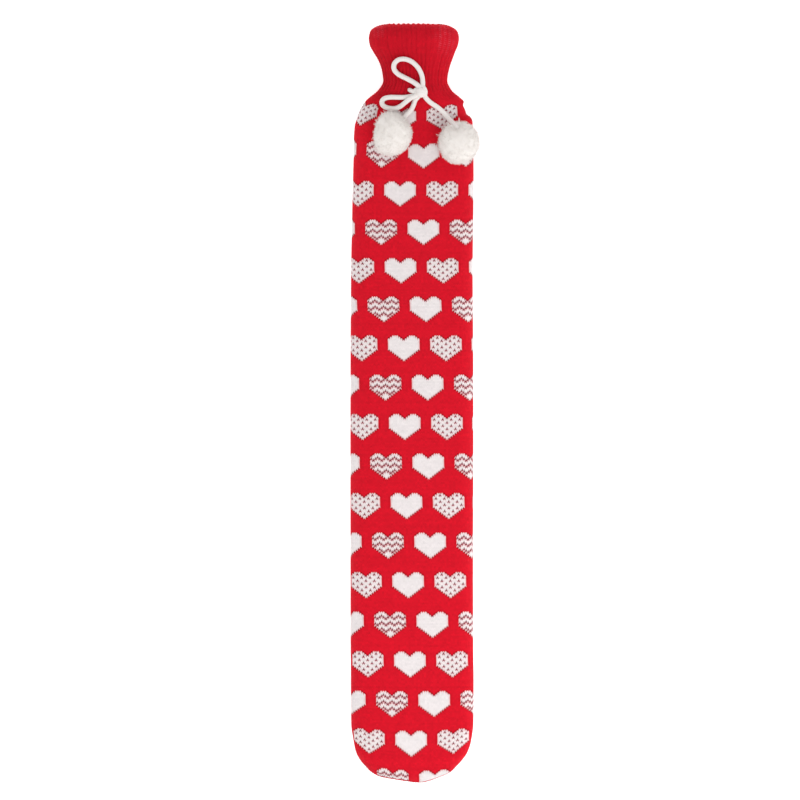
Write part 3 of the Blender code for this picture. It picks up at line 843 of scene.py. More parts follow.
# %% Relief of the knitting
WALE_RELIEF = 0.11              # how far a wale's middle stands above its sides, halved
RIB_DEPTH = 0.95
GROOVE_SPREAD = (0.35, 1.5)     # how unevenly the ribs are drawn in
GROOVE_LENGTH = 9.0             # length down over which that changes
GROOVE_MARKS = 12
RIM_WAVE = 0.7                  # how far the ribs stand above the valleys at the mouth
RIM_LEVEL = 0.9                 # share of the wave that rises above the plain edge
RIM_ROWS = 3                    # courses that the edge's wave pulls along
RIM_CROWN = 0.75                # the mouth's edge bulges between its corners,
CROWN_LEFT = (-27.0, -19.0)     # which are here
CROWN_RIGHT = (23.0, 29.0)
RIM_CORNERS = (0.45, 0.75)      # shares of the mouth's half width where its ribs go flat,
CORNER_FLATNESS = 0.8           # by how much,
CORNER_FADE = (25.0, 45.0)      # and at which lengths down they are full again
RIM_SLACK_AT = -5.0             # the wale round which the mouth's edge waves most,
RIM_SLACK = (0.25, 0.60)        # and how far from it the edge is pulled straight


def rib_grooves(cloth, down, dice):
    """Depth of the ribbing's valleys; no two ribs are drawn in quite alike."""
    turn = (LATTICE_WALES - RIB_WALES / 2) / RIB_WALES
    groove = 0.5 + 0.5 * np.cos(2 * math.pi * turn)
    spread = dice.uniform(*GROOVE_SPREAD, (GROOVE_MARKS, WALES // RIB_WALES + 2))
    number = np.round(turn).astype(int) + WALES // RIB_WALES // 2
    far = np.clip(down / GROOVE_LENGTH, 0.0, GROOVE_MARKS - 2)
    near = far.astype(int)
    uneven = spread[near, number] * (near + 1 - far) + spread[near + 1, number] * (far - near)
    corner = smooth_step(*RIM_CORNERS, np.abs(LATTICE_WALES) / NECK_HALF_WALES)
    corner = corner * (1 - smooth_step(*CORNER_FADE, down))
    depth = cloth.at(cloth.rib, down) * RIB_DEPTH * groove * uneven
    return groove, depth * (1 - CORNER_FLATNESS * corner)


def rim_pull(points, groove):
    """How each point of the mouth's edge is pulled outwards by its ribs."""
    run = np.gradient(points, axis=0)
    outward = unit(np.column_stack([-run[:, 1], np.abs(run[:, 0]) + TINY, np.zeros(len(run))]))
    outward[:, 0] = np.copysign(outward[:, 0], LATTICE_WALES)
    x = points[:, 0]
    crown = RIM_CROWN * (smooth_step(*CROWN_LEFT, x) - smooth_step(*CROWN_RIGHT, x))
    slack = 1 - smooth_step(*RIM_SLACK, np.abs(LATTICE_WALES - RIM_SLACK_AT) / NECK_HALF_WALES)
    wave = RIM_WAVE * (RIM_LEVEL - groove) * slack + crown
    return wave[:, None] * outward


def outer_face(cloth, down, across, dice):
    """Points of the stitches, and the smooth cloth and its normals beneath them."""
    place = across / np.maximum(cloth.at(cloth.reach, down), TINY)
    base = cloth.look_up(cloth.points, down, place)
    normal = unit(cloth.look_up(cloth.normals, down, place) + (0.0, 0.0, TINY))
    groove, sunk = rib_grooves(cloth, down, dice)
    ridge = WALE_RELIEF * (2 * (HALF_WALES % 2) - 1)
    points = base + normal * (ridge - sunk)[..., None]
    fade = np.clip(1 - np.arange(len(points)) / RIM_ROWS, 0.0, 1.0)[:, None, None]
    return points + rim_pull(points[0], groove) * fade, base, normal


print("grooves of the ribbing:", RIB_DEPTH, "mm, and wales raised by", 2 * WALE_RELIEF, "mm")

# %% [markdown]
# Inside, nothing shows but a dark mix of yarns, so the inner face has one point for many
# stitches. Strips of triangles zip the fine outer edge to the coarse inner one all round.

# %% Inner face and rims
WALL = 2.0
INNER_COLUMNS = 6               # half wales to one column of the inner face


def inner_face(base, normal, side):
    """Points of the wall's inner face, kept on its own side of the seam."""
    inner = (base - normal * WALL)[::INNER_ROWS, ::INNER_COLUMNS]
    seam = seam_height(inner[..., 1])
    inner[..., 2] = seam + side * np.maximum(side * (inner[..., 2] - seam), SEAM_HALF_GAP)
    return inner


def zip_edges(fine, coarse, flip):
    """Triangles between a fine and a coarse line of points."""
    ratio = (len(fine) - 1) // (len(coarse) - 1)
    faces = []
    for c in range(len(coarse) - 1):
        strip = fine[c * ratio:(c + 1) * ratio + 1]
        middle = ratio // 2
        for k in range(ratio):
            faces.append((strip[k], strip[k + 1], coarse[c] if k < middle else coarse[c + 1]))
        faces.append((strip[middle], coarse[c + 1], coarse[c]))
    return [face[::-1] for face in faces] if flip else faces


def rim_faces(outer, inner, side):
    """Triangles from the outer to the inner face, at the mouth, the end and both seams."""
    return (zip_edges(outer[0], inner[0], side < 0)
            + zip_edges(outer[-1], inner[-1], side > 0)
            + zip_edges(outer[:, 0], inner[:, 0], side > 0)
            + zip_edges(outer[:, -1], inner[:, -1], side < 0))


print(len(zip_edges(range(INNER_COLUMNS + 1), range(2), False)), "triangles join",
      INNER_COLUMNS, "half wales of the outside to one step of the inside")

# %% [markdown]
# Wales that run past the outline are drawn back to it, so many points share one place, and
# some faces have shrunk to a line or lie flat on each other. Blender can merge points by
# distance, but that drops whole faces and loses the colour of their corners. So the doubles
# are merged here, and faces folded on each other are taken out in pairs.

# %% Merge what lies in one place
WELD_REACH = 0.002


def weld(points, faces, places, colours):
    """Join points drawn to the same place; faces folded flat on each other go in pairs.

    The last thing returned is the old number of each face that is left."""
    tree = KDTree(len(points))
    for number, point in enumerate(points):
        tree.insert(point, number)
    tree.balance()
    same = [min(hit[1] for hit in tree.find_range(point, WELD_REACH)) for point in points]
    kept = {}
    first = 0
    for number, face in enumerate(faces):
        ring = [(same[vertex], first + k) for k, vertex in enumerate(face)]
        first += len(face)
        ring = [pair for pair, before in zip(ring, ring[-1:] + ring[:-1])
                if pair[0] != before[0]]
        key = frozenset(vertex for vertex, _ in ring)
        if len(key) < 3 or len(key) < len(ring):
            continue
        if key in kept:
            del kept[key]
        else:
            kept[key] = (number, ring)
    used = sorted({vertex for _, ring in kept.values() for vertex, _ in ring})
    new_number = {vertex: k for k, vertex in enumerate(used)}
    rings = [[new_number[vertex] for vertex, _ in ring] for _, ring in kept.values()]
    corners = [corner for _, ring in kept.values() for _, corner in ring]
    numbers = np.array([number for number, _ in kept.values()])
    return points[used], rings, places[corners], colours[corners], numbers


square = np.array([(0.0, 0, 0), (1, 0, 0), (1, 1, 0), (1, 1, 0), (0, 1, 0)])
print("weld: 5 corners, of which 2 lie in one place, become",
      len(weld(square, [[0, 1, 2, 3, 4]], square, square)[0]))

# %% [markdown]
# Now both panels are put together. Their inside takes the second material, which shows only
# at the mouth. The back panel is seen from nowhere in the photograph, and is knitted like the
# front one, as such covers are.

# %% Build both panels
INSIDE_COLOUR = (0.50, 0.012, 0.03)


def make_panel(name, cloth, side, seed):
    """One panel as a closed shell: stitches outside, a plain face inside, rims between."""
    dice = np.random.default_rng(seed)
    down, across, match_row = lattice(cloth, side)
    points, base, normal = outer_face(cloth, down, across, dice)
    inner = inner_face(base, normal, side)
    colours = knit_colours(cloth, side, down, across, match_row, dice)
    faces, places = grid_faces(*down.shape, wrap=False, flip=side > 0)
    in_faces, in_places = grid_faces(*inner.shape[:2], wrap=False, flip=side < 0)
    ids = np.arange(down.size + inner[..., 0].size)
    rims = rim_faces(ids[:down.size].reshape(down.shape),
                     ids[down.size:].reshape(inner.shape[:2]), side)
    plain = np.broadcast_to((*INSIDE_COLOUR, 1.0), (in_faces.size, 4))
    rim_colour = np.broadcast_to((*RED, 1.0), (3 * len(rims), 4))
    points, rings, places, colours, numbers = weld(
        np.vstack([points.reshape(-1, 3), inner.reshape(-1, 3)]),
        faces.tolist() + (in_faces + down.size).tolist() + rims,
        np.vstack([(places * (0.5, 1.0)).reshape(-1, 2),
                   (in_places * (INNER_COLUMNS / 2, INNER_ROWS)).reshape(-1, 2),
                   np.zeros((3 * len(rims), 2))]),
        np.vstack([colours, plain, rim_colour]))
    piece = build_piece(name, points, rings, [places], [colours])
    inside = (numbers >= len(faces)) & (numbers < len(faces) + len(in_faces))
    piece.data.polygons.foreach_set("material_index", inside.astype(int))
    report(piece)
    return piece


panel_front = make_panel("front_panel", front_cloth, side=1, seed=11)
panel_back = make_panel("back_panel", back_cloth, side=-1, seed=12)

# %% [markdown]
# ## Fluffy pompoms
# A pompom is a bundle of cut yarn, tied in the middle and combed out. Each end of yarn opens
# into fine fibres. Hair from a particle system would do, but it leaves no mesh behind. So each
# pompom here is a soft core with many small tufts on it, and each tuft is a few thin, curled
# fibres that start together and spread at their tips. First comes the shape: a squashed ball
# with a swelling here and a dent there, which lies on the knitting.

# %% Shape of the pompoms
POMPOMS = {
    # name: centre, half sizes, lowest point, seed
    "pompom_left": ((-17.6, 263.4, 41.4), (19.1, 22.4, 15.5), 27.0, 3),
    "pompom_right": ((46.2, 254.4, 40.7), (21.2, 22.4, 15.5), 26.3, 8),
}
# name: a direction, how far the pile swells there, and how narrowly
SWELLS = {
    "pompom_left": [((-0.77, -0.64, 0.0), 0.18, 5), ((-0.68, 0.73, 0.0), 0.10, 7),
                    ((0.60, 0.75, 0.3), -0.14, 7), ((0.71, -0.71, 0.0), -0.03, 5)],
    "pompom_right": [((0.26, 0.97, 0.0), 0.02, 5), ((0.42, -0.91, 0.0), -0.05, 6),
                     ((-0.15, 0.86, 0.5), -0.24, 14)],
}


def pompom_surface(ways, name):
    """Points of a pompom's outside in the given directions."""
    centre, half, base, _ = POMPOMS[name]
    reach = np.ones(ways.shape[:-1])
    for toward, size, narrow in SWELLS[name]:
        reach = reach + size * np.clip(ways @ unit(np.array(toward)), 0.0, None) ** narrow
    points = ways * half * reach[..., None] + centre
    points[..., 2] = np.maximum(points[..., 2], base)
    return points


def even_directions(count):
    """Directions spread evenly over a ball, each one a golden angle from the last."""
    k = np.arange(count) + 0.5
    level = 1 - 2 * k / count
    turn = k * math.pi * (3 - math.sqrt(5))
    ring = np.sqrt(1 - level ** 2)
    return np.column_stack([ring * np.cos(turn), ring * np.sin(turn), level])


for name in POMPOMS:
    print(name, "is", np.ptp(pompom_surface(even_directions(500), name), axis=0).round(1), "mm")

# %% [markdown]
# Each fibre runs from inside the core to the outside. The fibres of a tuft share its place
# and its lean, and a few tufts stand out as points, most of them towards the mouth. All
# chance here comes from a seeded generator, so every run of the script gives the same pile.

# %% Paths of the fibres
TUFTS = 1400
FIBRES_EACH = 5
FIBRE_POINTS = 5
TUFT_SCATTER = 0.07             # how far a tuft's place strays from the even spread
TUFT_LEAN = 0.05
TUFT_REACH = (0.96, 1.0)        # how far a tuft reaches, as a share of the radius
STRAY_SHARE = 0.07              # share of tufts that stand out as points
STRAY_PLACES = (0.55, -0.3, 0.8)        # everywhere, less to the right, more to the mouth
STRAY_REACH = (0.06, 0.15)      # how far they stand out
STRAY_TIGHT = 0.25              # how far their fibres spread, as a share of the others'
ROOT_SPREAD = 0.03
TIP_SPREAD = 0.07
FIBRE_REACH = (-0.06, 0.02)     # how far a fibre stays behind its tuft, or passes it
FIBRE_START = 0.62              # share of the radius where the fibres start
FIBRE_LIFT = 0.3                # height of the lowest tips above the lowest point
CURL = (0.2, 1.0)               # millimetres off the straight line
CURL_TURNS = (0.7, 1.5)         # half waves of a curl


def fibre_ends(name, dice):
    """Where each fibre of a pompom starts and ends."""
    centre, _, base, _ = POMPOMS[name]
    tufts = unit(even_directions(TUFTS) + TUFT_SCATTER * dice.standard_normal((TUFTS, 3)))
    lean = TUFT_LEAN * dice.standard_normal((TUFTS, 3))
    all_over, right, mouth = STRAY_PLACES
    spiky = np.clip(all_over + mouth * tufts[:, 1] + right * tufts[:, 0], 0.0, 1.0)
    stray = (dice.uniform(0.0, 1.0, TUFTS) < STRAY_SHARE) * spiky
    way, lean, pointed = [np.repeat(table, FIBRES_EACH, axis=0) for table in (tufts, lean, stray)]
    root_way = unit(way + ROOT_SPREAD * dice.standard_normal(way.shape))
    spread = TIP_SPREAD * np.where(pointed > 0, STRAY_TIGHT, 1.0)[:, None]
    tip_way = unit(way + lean + spread * dice.standard_normal(way.shape))
    reach = dice.uniform(*TUFT_REACH, TUFTS) + stray * dice.uniform(*STRAY_REACH, TUFTS)
    reach = np.repeat(reach, FIBRES_EACH) + dice.uniform(*FIBRE_REACH, len(way))
    middle = np.array(centre)
    start = middle + (pompom_surface(root_way, name) - middle) * FIBRE_START
    end = middle + (pompom_surface(tip_way, name) - middle) * reach[:, None]
    end[:, 2] = np.maximum(end[:, 2], base + FIBRE_LIFT)
    return start, end


def curled_paths(start, end, dice):
    """Points along each fibre, and two directions across it."""
    count = len(start)
    t = np.linspace(0.0, 1.0, FIBRE_POINTS)[None, :, None]
    curl = unit(dice.standard_normal((count, 3))) * dice.uniform(*CURL, (count, 1))
    wave = np.sin(math.pi * t * dice.uniform(*CURL_TURNS, (count, 1, 1)))
    path = start[:, None] * (1 - t) + end[:, None] * t + curl[:, None] * wave
    along = unit(end - start)
    one = unit(np.cross(along, curl))
    return path, one, np.cross(along, one)


print("fibres:", TUFTS * FIBRES_EACH, "on each pompom")

# %% [markdown]
# A shape that is repeated thousands of times has to be plain, so a fibre is a thin spike of
# three sides, the least that still has a thickness. Its root is a bit darker, because less
# light gets down there, and each tuft has a tone of its own.

# %% The pile
FIBRE_ROOT = 0.32               # radius at the root
FIBRE_TIP = 0.08
FIBRE_SIDES = 3
PILE_WHITE = np.array((0.815, 0.775, 0.742))
ROOT_SHADE = 0.94
SHADE_CURVE = 0.8
TUFT_TONE = (0.97, 1.01)
FIBRE_TONE = (0.98, 1.02)


def make_pile(name):
    """All fibres of a pompom in one piece."""
    dice = np.random.default_rng(POMPOMS[name][3])
    path, one, two = curled_paths(*fibre_ends(name, dice), dice)
    count = len(path)
    level = np.linspace(0.0, 1.0, FIBRE_POINTS)
    radius = (FIBRE_ROOT * (1 - level) + FIBRE_TIP * level)[None, :, None]
    turns = [2 * math.pi * k / FIBRE_SIDES for k in range(FIBRE_SIDES)]
    spokes = [one * math.cos(turn) + two * math.sin(turn) for turn in turns]
    points = np.stack([path + spoke[:, None] * radius for spoke in spokes], axis=2)
    faces, places = grid_faces(FIBRE_POINTS, FIBRE_SIDES, wrap=True)
    step = FIBRE_POINTS * FIBRE_SIDES
    starts = np.arange(count)[:, None, None] * step
    ends = np.array([[step - 3, step - 2, step - 1], [2, 1, 0]])
    walls, tips = (faces + starts).reshape(-1, 4), (ends + starts).reshape(-1, 3)
    shade = ROOT_SHADE + (1 - ROOT_SHADE) * level ** SHADE_CURVE
    tone = (np.repeat(dice.uniform(*TUFT_TONE, TUFTS), FIBRES_EACH)
            * dice.uniform(*FIBRE_TONE, count))[:, None, None]
    wall_shade = shade[places[..., 1].astype(int)] * tone
    tip_shade = np.repeat(shade[[-1, 0], None], FIBRE_SIDES, axis=1) * tone
    colours = [PILE_WHITE * part.reshape(-1, 1) for part in (wall_shade, tip_shade)]
    return build_piece(name + "_pile", points.reshape(-1, 3), walls.tolist() + tips.tolist(),
                       [np.tile(places, (count, 1, 1)), np.zeros((len(tips), 3, 2))],
                       [np.clip(colour, 0, 1) for colour in colours])


print("each fibre has", FIBRE_POINTS * FIBRE_SIDES, "points")

# %% [markdown]
# The core fills the gaps between the tufts. It is a ball added as a primitive, and its points
# are moved to the pompom's own shape, a little inside it, with low lumps for its locks.

# %% The cores, and both pompoms
CORE_SHARE = 0.90               # how far out the core reaches
CORE_LUMPS = 0.012
CORE_WAVES = (9, 11, 4)         # how closely the lumps follow each other, across, along, up


def shape_primitive(points):
    """Moves the new primitive's points to their places, in millimetres."""
    piece = bpy.context.object
    piece.data.vertices.foreach_set("co", (points * MM).ravel())
    piece.data.update()
    piece.data.shade_smooth()
    return piece


def directions():
    """The directions of a new unit ball's points from its middle."""
    return np.array([vertex.co for vertex in bpy.context.object.data.vertices])


def make_core(name):
    """The solid middle of a pompom."""
    bpy.ops.object.select_all(action="DESELECT")
    bpy.ops.mesh.primitive_ico_sphere_add(subdivisions=5, radius=1.0)
    ways = directions()
    x, y, z = ways.T
    wide, long, high = CORE_WAVES
    lumps = CORE_SHARE + CORE_LUMPS * np.sin(wide * x + high * z) * np.sin(long * y)
    centre = np.array(POMPOMS[name][0])
    outside = pompom_surface(unit(ways), name)
    core = shape_primitive(centre + (outside - centre) * lumps[:, None])
    core.name = name + "_core"
    return core


pompoms = {name: (make_pile(name), make_core(name)) for name in POMPOMS}
for pile, core in pompoms.values():
    report(pile)
    report(core)

# %% [markdown]
# ## The knot
# The cord goes over the roots of the bow, round them and through itself, which leaves a round
# lump. One turn of the cord shows at its right, on the way down to the right tail, and the
# stitches of the top turn are lost in the shine, so that a ball with a knitted skin is enough.
# A flatter lump behind it fills the place where the loops go in.

# %% Knot, its turn and the lump behind it
KNOT_BALLS = {
    # name: centre, half sizes
    "bow_knot_ball": ((8.8, 303.7, 39.2), (4.7, 5.1, 4.8)),
    "bow_knot_root": ((6.6, 304.9, 36.4), (5.4, 4.2, 3.8)),
}
BAND_RIGHT = [(8.4, 310.2, 37.2), (10.8, 309.2, 38.0), (12.6, 307.0, 38.6),
              (13.4, 304.3, 38.6), (13.0, 301.4, 37.6), (11.8, 298.8, 36.2)]
BAND_RADIUS = 2.1
BALL_TURNS = 14.0               # stitches round the ball
BALL_ROWS = 9.0                 # and rows of them from end to end, times pi
BALL_RELIEF = 0.035             # as a share of the ball's half size


def make_ball(name):
    """A lump of the knot with a knitted skin."""
    bpy.ops.object.select_all(action="DESELECT")
    bpy.ops.mesh.primitive_uv_sphere_add(segments=64, ring_count=32, radius=1.0)
    ways = directions()
    turn = np.arctan2(ways[:, 2], ways[:, 0])
    relief = 1 + BALL_RELIEF * np.sin(BALL_TURNS * turn) * np.cos(BALL_ROWS * ways[:, 1])
    centre, half = KNOT_BALLS[name]
    ball = shape_primitive(ways * relief[:, None] * half + centre)
    ball.name = name
    return ball


knot_ball, knot_root = [make_ball(name) for name in KNOT_BALLS]
knot_band = make_tube("bow_knot_band", smooth_route(BAND_RIGHT), BAND_RADIUS, CORD_SIDES,
                      cord_relief, CORD_CREAM_AND_RED_BOUNCE, CORD_WALES, CORD_COURSE)
print("knot:", [len(piece.data.polygons) for piece in (knot_ball, knot_root, knot_band)], "faces")

# %% [markdown]
# ## The side seam
# The panels are linked with a chain of the same red yarn, which sits in the groove between
# them, from the mouth round the end and back. It could be left to a dark line, but from the
# side it is what holds the cover together. The tube that made the cord makes it too, with
# eight sides and one bead for each stitch.

# %% Linked seam
SEAM_RADIUS = 0.85
SEAM_SIDES = 8
SEAM_STEP = 0.6
SEAM_SUNK = 1.0                 # how deep its middle lies in the groove, and twice that
SEAM_MOUTH = (346.0, 360.0)     # past here, where the flare turns in
SEAM_STITCH = 2.4
SEAM_WIDEN = 0.14               # how far each stitch stands out to both sides
SEAM_BEAD = 0.05                # and all round
# painted shade: the same red yarn, darker where it sits in the groove
SEAM_SHADE = 0.8


def seam_relief(turn, travel):
    """One bead for each stitch, wider to the sides."""
    beat = np.cos(2 * math.pi * travel / SEAM_STITCH)
    return SEAM_WIDEN * beat * np.cos(2 * math.pi * turn) ** 2 + SEAM_BEAD * beat


def make_seam(cloth):
    """The linked seam, down the right side, round the end and up the left side."""
    sunk = SEAM_SUNK + SEAM_SUNK * smooth_step(*SEAM_MOUTH, cloth.along)
    inset = np.clip(cloth.half - sunk, 0.0, None)
    right, left = [np.column_stack([cloth.centre + offset, cloth.along, seam_height(cloth.along)])
                   for offset in (inset, -inset)]
    route = np.vstack([right, left[-2::-1]])
    route[:, 1] = np.maximum(route[:, 1], cloth.along[-1] + SEAM_SUNK)
    travel = travelled(route)
    moved = np.append(True, np.diff(travel) > TINY)
    marks = np.linspace(0.0, travel[-1], round(travel[-1] / SEAM_STEP))
    path = at_marks(route[moved], travel[moved], marks)
    return make_tube("side_seam", path, SEAM_RADIUS, SEAM_SIDES, seam_relief, RED * SEAM_SHADE,
                     1.0, SEAM_STITCH)


seam_yarn = make_seam(front_cloth)
report(seam_yarn)

# %% [markdown]
# ## Shader maths as expressions
# Materials are graphs of nodes. Built node by node they are hard to read, so here they are
# written as Python expressions: this small class wraps a socket, and each operator on it adds
# the Math node that does the sum. All other nodes come from one method of the paint.

# %% Wires and paints
DULL = 0.1                      # specular level: yarn reflects little, and so does the table


class Wire:
    """A socket on which Python's operators add Math nodes."""

    def __init__(self, paint, socket):
        self.paint = paint
        self.socket = socket

    def maths(self, operation, *values):
        return self.paint.node("ShaderNodeMath", {"operation": operation},
                               dict(enumerate(values)))

    def __add__(self, other):
        return self.maths("ADD", self, other)

    def __sub__(self, other):
        return self.maths("SUBTRACT", self, other)

    def __rsub__(self, other):
        return self.maths("SUBTRACT", other, self)

    def __mul__(self, other):
        return self.maths("MULTIPLY", self, other)

    def __pow__(self, power):
        return self.maths("POWER", self, power)

    __radd__ = __add__
    __rmul__ = __mul__

    def __abs__(self):
        return self.maths("ABSOLUTE", self)

    def fraction(self):
        return self.maths("FRACT", self)


class Paint:
    """A new material with one Principled shader; sheen_weight=0.1 sets its Sheen Weight."""

    def __init__(self, name, **values):
        self.material = bpy.data.materials.new(name)
        self.material.use_nodes = True
        self.tree = self.material.node_tree
        self.shader = self.tree.nodes["Principled BSDF"]
        self.shader.inputs["Specular IOR Level"].default_value = DULL
        for key, value in values.items():
            self.shader.inputs[key.replace("_", " ").title()].default_value = value

    def node(self, kind, settings, sockets, output=0):
        """Adds a node: its settings first, then values or wires into its sockets."""
        node = self.tree.nodes.new(kind)
        for key, value in settings.items():
            setattr(node, key, value)
        for key, value in sockets.items():
            if isinstance(value, Wire):
                self.tree.links.new(value.socket, node.inputs[key])
            else:
                node.inputs[key].default_value = value
        return Wire(self, node.outputs[output])

    def into(self, name, wire):
        self.tree.links.new(wire.socket, self.shader.inputs[name])


def blend(paint, share, one, two, how="MIX"):
    """A Mix node for colours, whose sockets have numbers: 0, 6 and 7, and 2 for the result."""
    return paint.node("ShaderNodeMix", {"data_type": "RGBA", "blend_type": how},
                      {0: share, 6: one, 7: two}, 2)


def finish_paint(paint, colour, height, depth, strength=1.0):
    """Gives a paint its colour and a bump of a depth in millimetres."""
    bump = paint.node("ShaderNodeBump", {}, {"Strength": strength, "Distance": depth * MM,
                                             "Height": height})
    paint.into("Base Color", colour)
    paint.into("Normal", bump)
    return paint.material


print("operators:", [key for key in vars(Wire) if key.startswith("__r")], "are reflected")

# %% [markdown]
# ## Knitting as a material
# The shape of each stitch, a pair of legs, is too fine for the mesh, so a bump raises it. The
# stitch map counts wales across and courses along, which makes a leg easy to write: it is a
# hump in each half wale, fuller in the middle of its course. The same hump paints shade into
# the cracks between the yarns, and a fine noise roughens the wool. Where the white yarn behind
# the red peeks out, it shows as a dash in the middle of each course.

# %% Yarn materials
FUZZ_SCALE = 1500.0             # wrinkles of the wool's noise in a metre
FUZZ_HEIGHT = 0.35              # as a share of a stitch's height
FUZZ_SHADE = 0.16
BEAT_DEPTH = 0.45               # how far a leg sinks at both ends of its course
LEGS = 2.0                      # to a wale
PEEK_COLOUR = (0.88, 0.085, 0.125, 1.0)         # white yarn, seen between the red stitches


def yarn_paint(name, roughness, sheen, depth, crack_shade, floats=False):
    """A knitted finish: the yarn attribute's colour, with legs raised on the stitch map.

    Depth is a leg's height in millimetres, and crack_shade the share of light that the painted
    shade in the cracks takes.
    With floats, the attribute's fourth number opens dashes of the white carried behind."""
    paint = Paint(name, roughness=roughness, sheen_weight=sheen)
    stitch = paint.node("ShaderNodeUVMap", {"uv_map": "stitches"}, {})
    wale = paint.node("ShaderNodeSeparateXYZ", {}, {0: stitch}, "X")
    course = paint.node("ShaderNodeSeparateXYZ", {}, {0: stitch}, "Y")
    place = paint.node("ShaderNodeTexCoord", {}, {}, "Object")
    fuzz = paint.node("ShaderNodeTexNoise", {}, {"Vector": place, "Scale": FUZZ_SCALE,
                                                 "Detail": 3.0, "Roughness": 0.6}, "Fac")
    leg = (wale * LEGS).fraction() * 2 - 1
    beat = course.fraction() * 2 - 1
    hump = (1 - leg ** 2) ** 0.5 * (1 - beat ** 2 * BEAT_DEPTH)
    height = hump + fuzz * FUZZ_HEIGHT
    tint = paint.node("ShaderNodeAttribute", {"attribute_name": "yarn"}, {}, "Color")
    # painted shade in the cracks between the legs, and a tone that varies with the noise
    shade = hump * crack_shade + (1 - crack_shade) + (fuzz - 0.5) * FUZZ_SHADE
    colour = blend(paint, 1.0, tint, shade, "MULTIPLY")
    if floats:
        whole = paint.node("ShaderNodeAttribute", {"attribute_name": "yarn"}, {}, "Alpha")
        level = course + abs(wale.fraction() * 2 - 1) * CHEVRON
        dash = (1 - whole) * (1 - (level.fraction() * 2 - 1) ** 2) ** 4
        colour = blend(paint, dash, colour, PEEK_COLOUR)
    return finish_paint(paint, colour, height, depth)


knit_paint = yarn_paint("knit_wool", roughness=0.88, sheen=0.02, depth=0.30, crack_shade=0.26,
                        floats=True)
cord_paint = yarn_paint("cord_cotton", roughness=0.80, sheen=0.05, depth=0.14, crack_shade=0.12)
print("knit paint:", len(knit_paint.node_tree.nodes), "nodes, cord paint:",
      len(cord_paint.node_tree.nodes), "nodes")

# %% [markdown]
# The inside of double knit is a fine mix of both yarns. The specks come from a pattern of
# cells, which costs nothing in the mesh. The pile of a pompom only needs its own fibres and a
# faint painted glow, which stands in for the light that comes through them from behind.

# %% The inside and the pile
SPECK_SCALE = 520.0             # specks of white in a metre
SPECK_EDGE = (0.18, 0.34)
SPECK_SHARE = 0.6
SPECK_DEPTH = 0.3
INSIDE_RED = (*RED * 0.75, 1.0)
INSIDE_WHITE = (*WHITE * 0.9, 1.0)
# painted glow of the pile and the cores, in place of light that comes through the fibres
PILE_PAINTED_GLOW = 0.10
PILE_PAINTED_GLOW_COLOUR = (1.0, 0.965, 0.93, 1.0)
LINT_SCALE = 900.0
LINT_SHADE = 0.10
LINT_DEPTH = 0.3
LINT_STRENGTH = 0.6


def inside_paint():
    """Red and white yarn in fine specks."""
    paint = Paint("knit_inside", roughness=0.92, sheen_weight=0.1)
    place = paint.node("ShaderNodeTexCoord", {}, {}, "Object")
    specks = paint.node("ShaderNodeTexVoronoi", {}, {"Vector": place, "Scale": SPECK_SCALE},
                        "Distance")
    white = paint.node("ShaderNodeMapRange", {}, {0: specks, 1: SPECK_EDGE[0],
                                                  2: SPECK_EDGE[1], 3: 1.0, 4: 0.0})
    colour = blend(paint, white * SPECK_SHARE, INSIDE_RED, INSIDE_WHITE)
    return finish_paint(paint, colour, 1 - specks, SPECK_DEPTH)


def pile_paint(name, tinted):
    """Fluffy white with a painted glow; a tinted one takes its colour from the yarn attribute."""
    paint = Paint(name, roughness=0.95, sheen_weight=0.15, emission_color=PILE_PAINTED_GLOW_COLOUR,
                  emission_strength=PILE_PAINTED_GLOW)
    place = paint.node("ShaderNodeTexCoord", {}, {}, "Object")
    lint = paint.node("ShaderNodeTexNoise", {}, {"Vector": place, "Scale": LINT_SCALE,
                                                 "Detail": 2.0}, "Fac")
    tint = (*PILE_WHITE * ROOT_SHADE, 1.0)
    if tinted:
        tint = paint.node("ShaderNodeAttribute", {"attribute_name": "yarn"}, {}, "Color")
    shade = lint * LINT_SHADE + (1 - LINT_SHADE / 2)
    colour = blend(paint, 1.0, tint, shade, "MULTIPLY")
    return finish_paint(paint, colour, lint, LINT_DEPTH, LINT_STRENGTH)


knit_inside = inside_paint()
pile_white = pile_paint("pile_white", True)
core_white = pile_paint("pile_core", False)
print("paints:", [paint.name for paint in (knit_inside, pile_white, core_white)])

# %% [markdown]
# ## Names and finishes
# Every piece says what it rides on, which solid it stands for and which finish it takes. The
# lumps of the knot began as primitives, so they still need the colour and the stitch map that
# their finish reads.

# %% Dress the frame
def plain_colour(piece, colour):
    """Gives a primitive the yarn attribute and the stitch map that its material reads."""
    mesh = piece.data
    tint = mesh.color_attributes.new("yarn", "FLOAT_COLOR", "CORNER")
    rgba = np.tile((*colour, 1.0), (len(mesh.loops), 1))
    tint.data.foreach_set("color", rgba.ravel())
    mesh.uv_layers[0].name = "stitches"


def dress(piece, materials, slot, *nodes):
    """Materials, body and the solids that a piece takes the place of; the slot is only printed.
    """
    for material in materials:
        piece.data.materials.append(material)
    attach(piece, "root")
    if nodes:
        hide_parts(*nodes)
    print(piece.name, "takes the finish", slot, "and replaces", *nodes or ["nothing"])


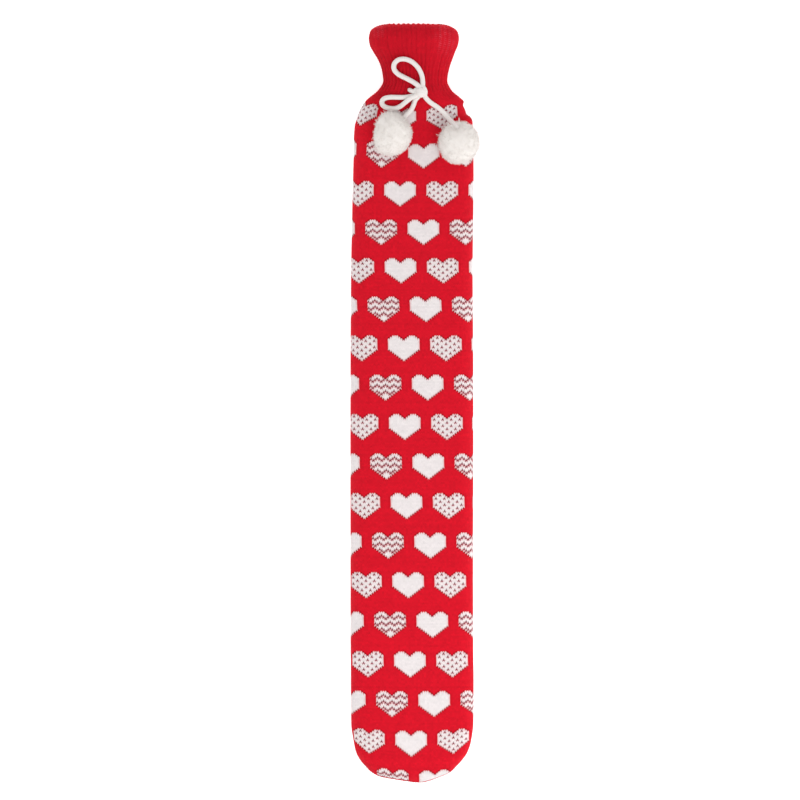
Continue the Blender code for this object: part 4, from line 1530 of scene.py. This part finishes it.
plain_colour(knot_ball, CORD_CREAM_AND_RED_BOUNCE)
plain_colour(knot_root, CORD_CREAM_AND_RED_BOUNCE)
dress(panel_front, [knit_paint, knit_inside], "knit", "cover_front")
dress(panel_back, [knit_paint, knit_inside], "knit", "cover_back")
dress(seam_yarn, [knit_paint], "knit")
dress(loop_upper, [cord_paint], "cord", "tie_loop_upper")
dress(loop_lower, [cord_paint], "cord", "tie_loop_lower")
dress(tail_left, [cord_paint], "cord", "tie_tail_left")
dress(tail_right, [cord_paint], "cord", "tie_tail_right")
dress(stub, [cord_paint], "cord", "tie_stub")
for lump in (knot_ball, knot_root, knot_band):
    dress(lump, [cord_paint], "cord", "tie_knot")
for name, (pile, core) in pompoms.items():
    dress(pile, [pile_white], "pile", name)
    dress(core, [core_white], "pile", name)

# The panels are sheets of cloth that were cut flat and are held stretched over the bottle.
# Here only the flat area of each is worked out.

# %% Flat areas of the sheets
def flat_area(cloth):
    """Area of a panel's cloth, in square metres."""
    return float((2 * cloth.reach[:-1] * np.diff(cloth.downs)).sum()) * MM * MM


def declare_sheet(cloth):
    flat_area(cloth)


declare_sheet(front_cloth)
declare_sheet(back_cloth)

# %% [markdown]
# ## Table and light
# A catalogue photograph has the bright, even light of a white room. A pale, plain table and a
# large soft lamp a little to the right give it, with a weaker one to the left. The table
# itself glows a little, which softens the shadows on it, and the standard view keeps the red
# as pure as the yarn.

# %% Table, lamps and room
FLOOR_SIZE = 40.0
FLOOR_GLOW = 0.62
FLOOR_DROP = 0.0003
FLOOR_WHITE = (0.93, 0.93, 0.93, 1.0)
LAMPS = {
    # name: place, size, watts
    "key_light": ((0.50, -0.50, 0.98), 0.9, 7.0),
    "fill_light": ((-0.9, 0.2, 1.5), 1.4, 2.0),
}
ROOM_LIGHT = 0.77
PURE_WHITE = (1.0, 1.0, 1.0, 1.0)

bpy.ops.object.select_all(action="DESELECT")
bpy.ops.mesh.primitive_plane_add(size=FLOOR_SIZE, location=(0.0, 0.0, -FLOOR_DROP))
floor = bpy.context.object
floor.name = "table_top"
table_paint = Paint("table_white", roughness=0.9, base_color=FLOOR_WHITE,
                    emission_color=PURE_WHITE, emission_strength=FLOOR_GLOW)
floor.data.materials.append(table_paint.material)

for name, (place, size, watts) in LAMPS.items():
    bpy.ops.object.light_add(type="AREA", location=place)
    lamp = bpy.context.object
    lamp.name = name
    lamp.data.size = size
    lamp.data.energy = watts
    lamp.rotation_euler = (-Vector(place)).to_track_quat("-Z", "Y").to_euler()

world = bpy.data.worlds.new("room")
world.use_nodes = True
room = world.node_tree.nodes["Background"]
room.inputs["Color"].default_value = PURE_WHITE
room.inputs["Strength"].default_value = ROOM_LIGHT
bpy.context.scene.world = world
bpy.context.scene.view_settings.view_transform = "Standard"
print("lamps:", list(LAMPS), "and a room of", ROOM_LIGHT)
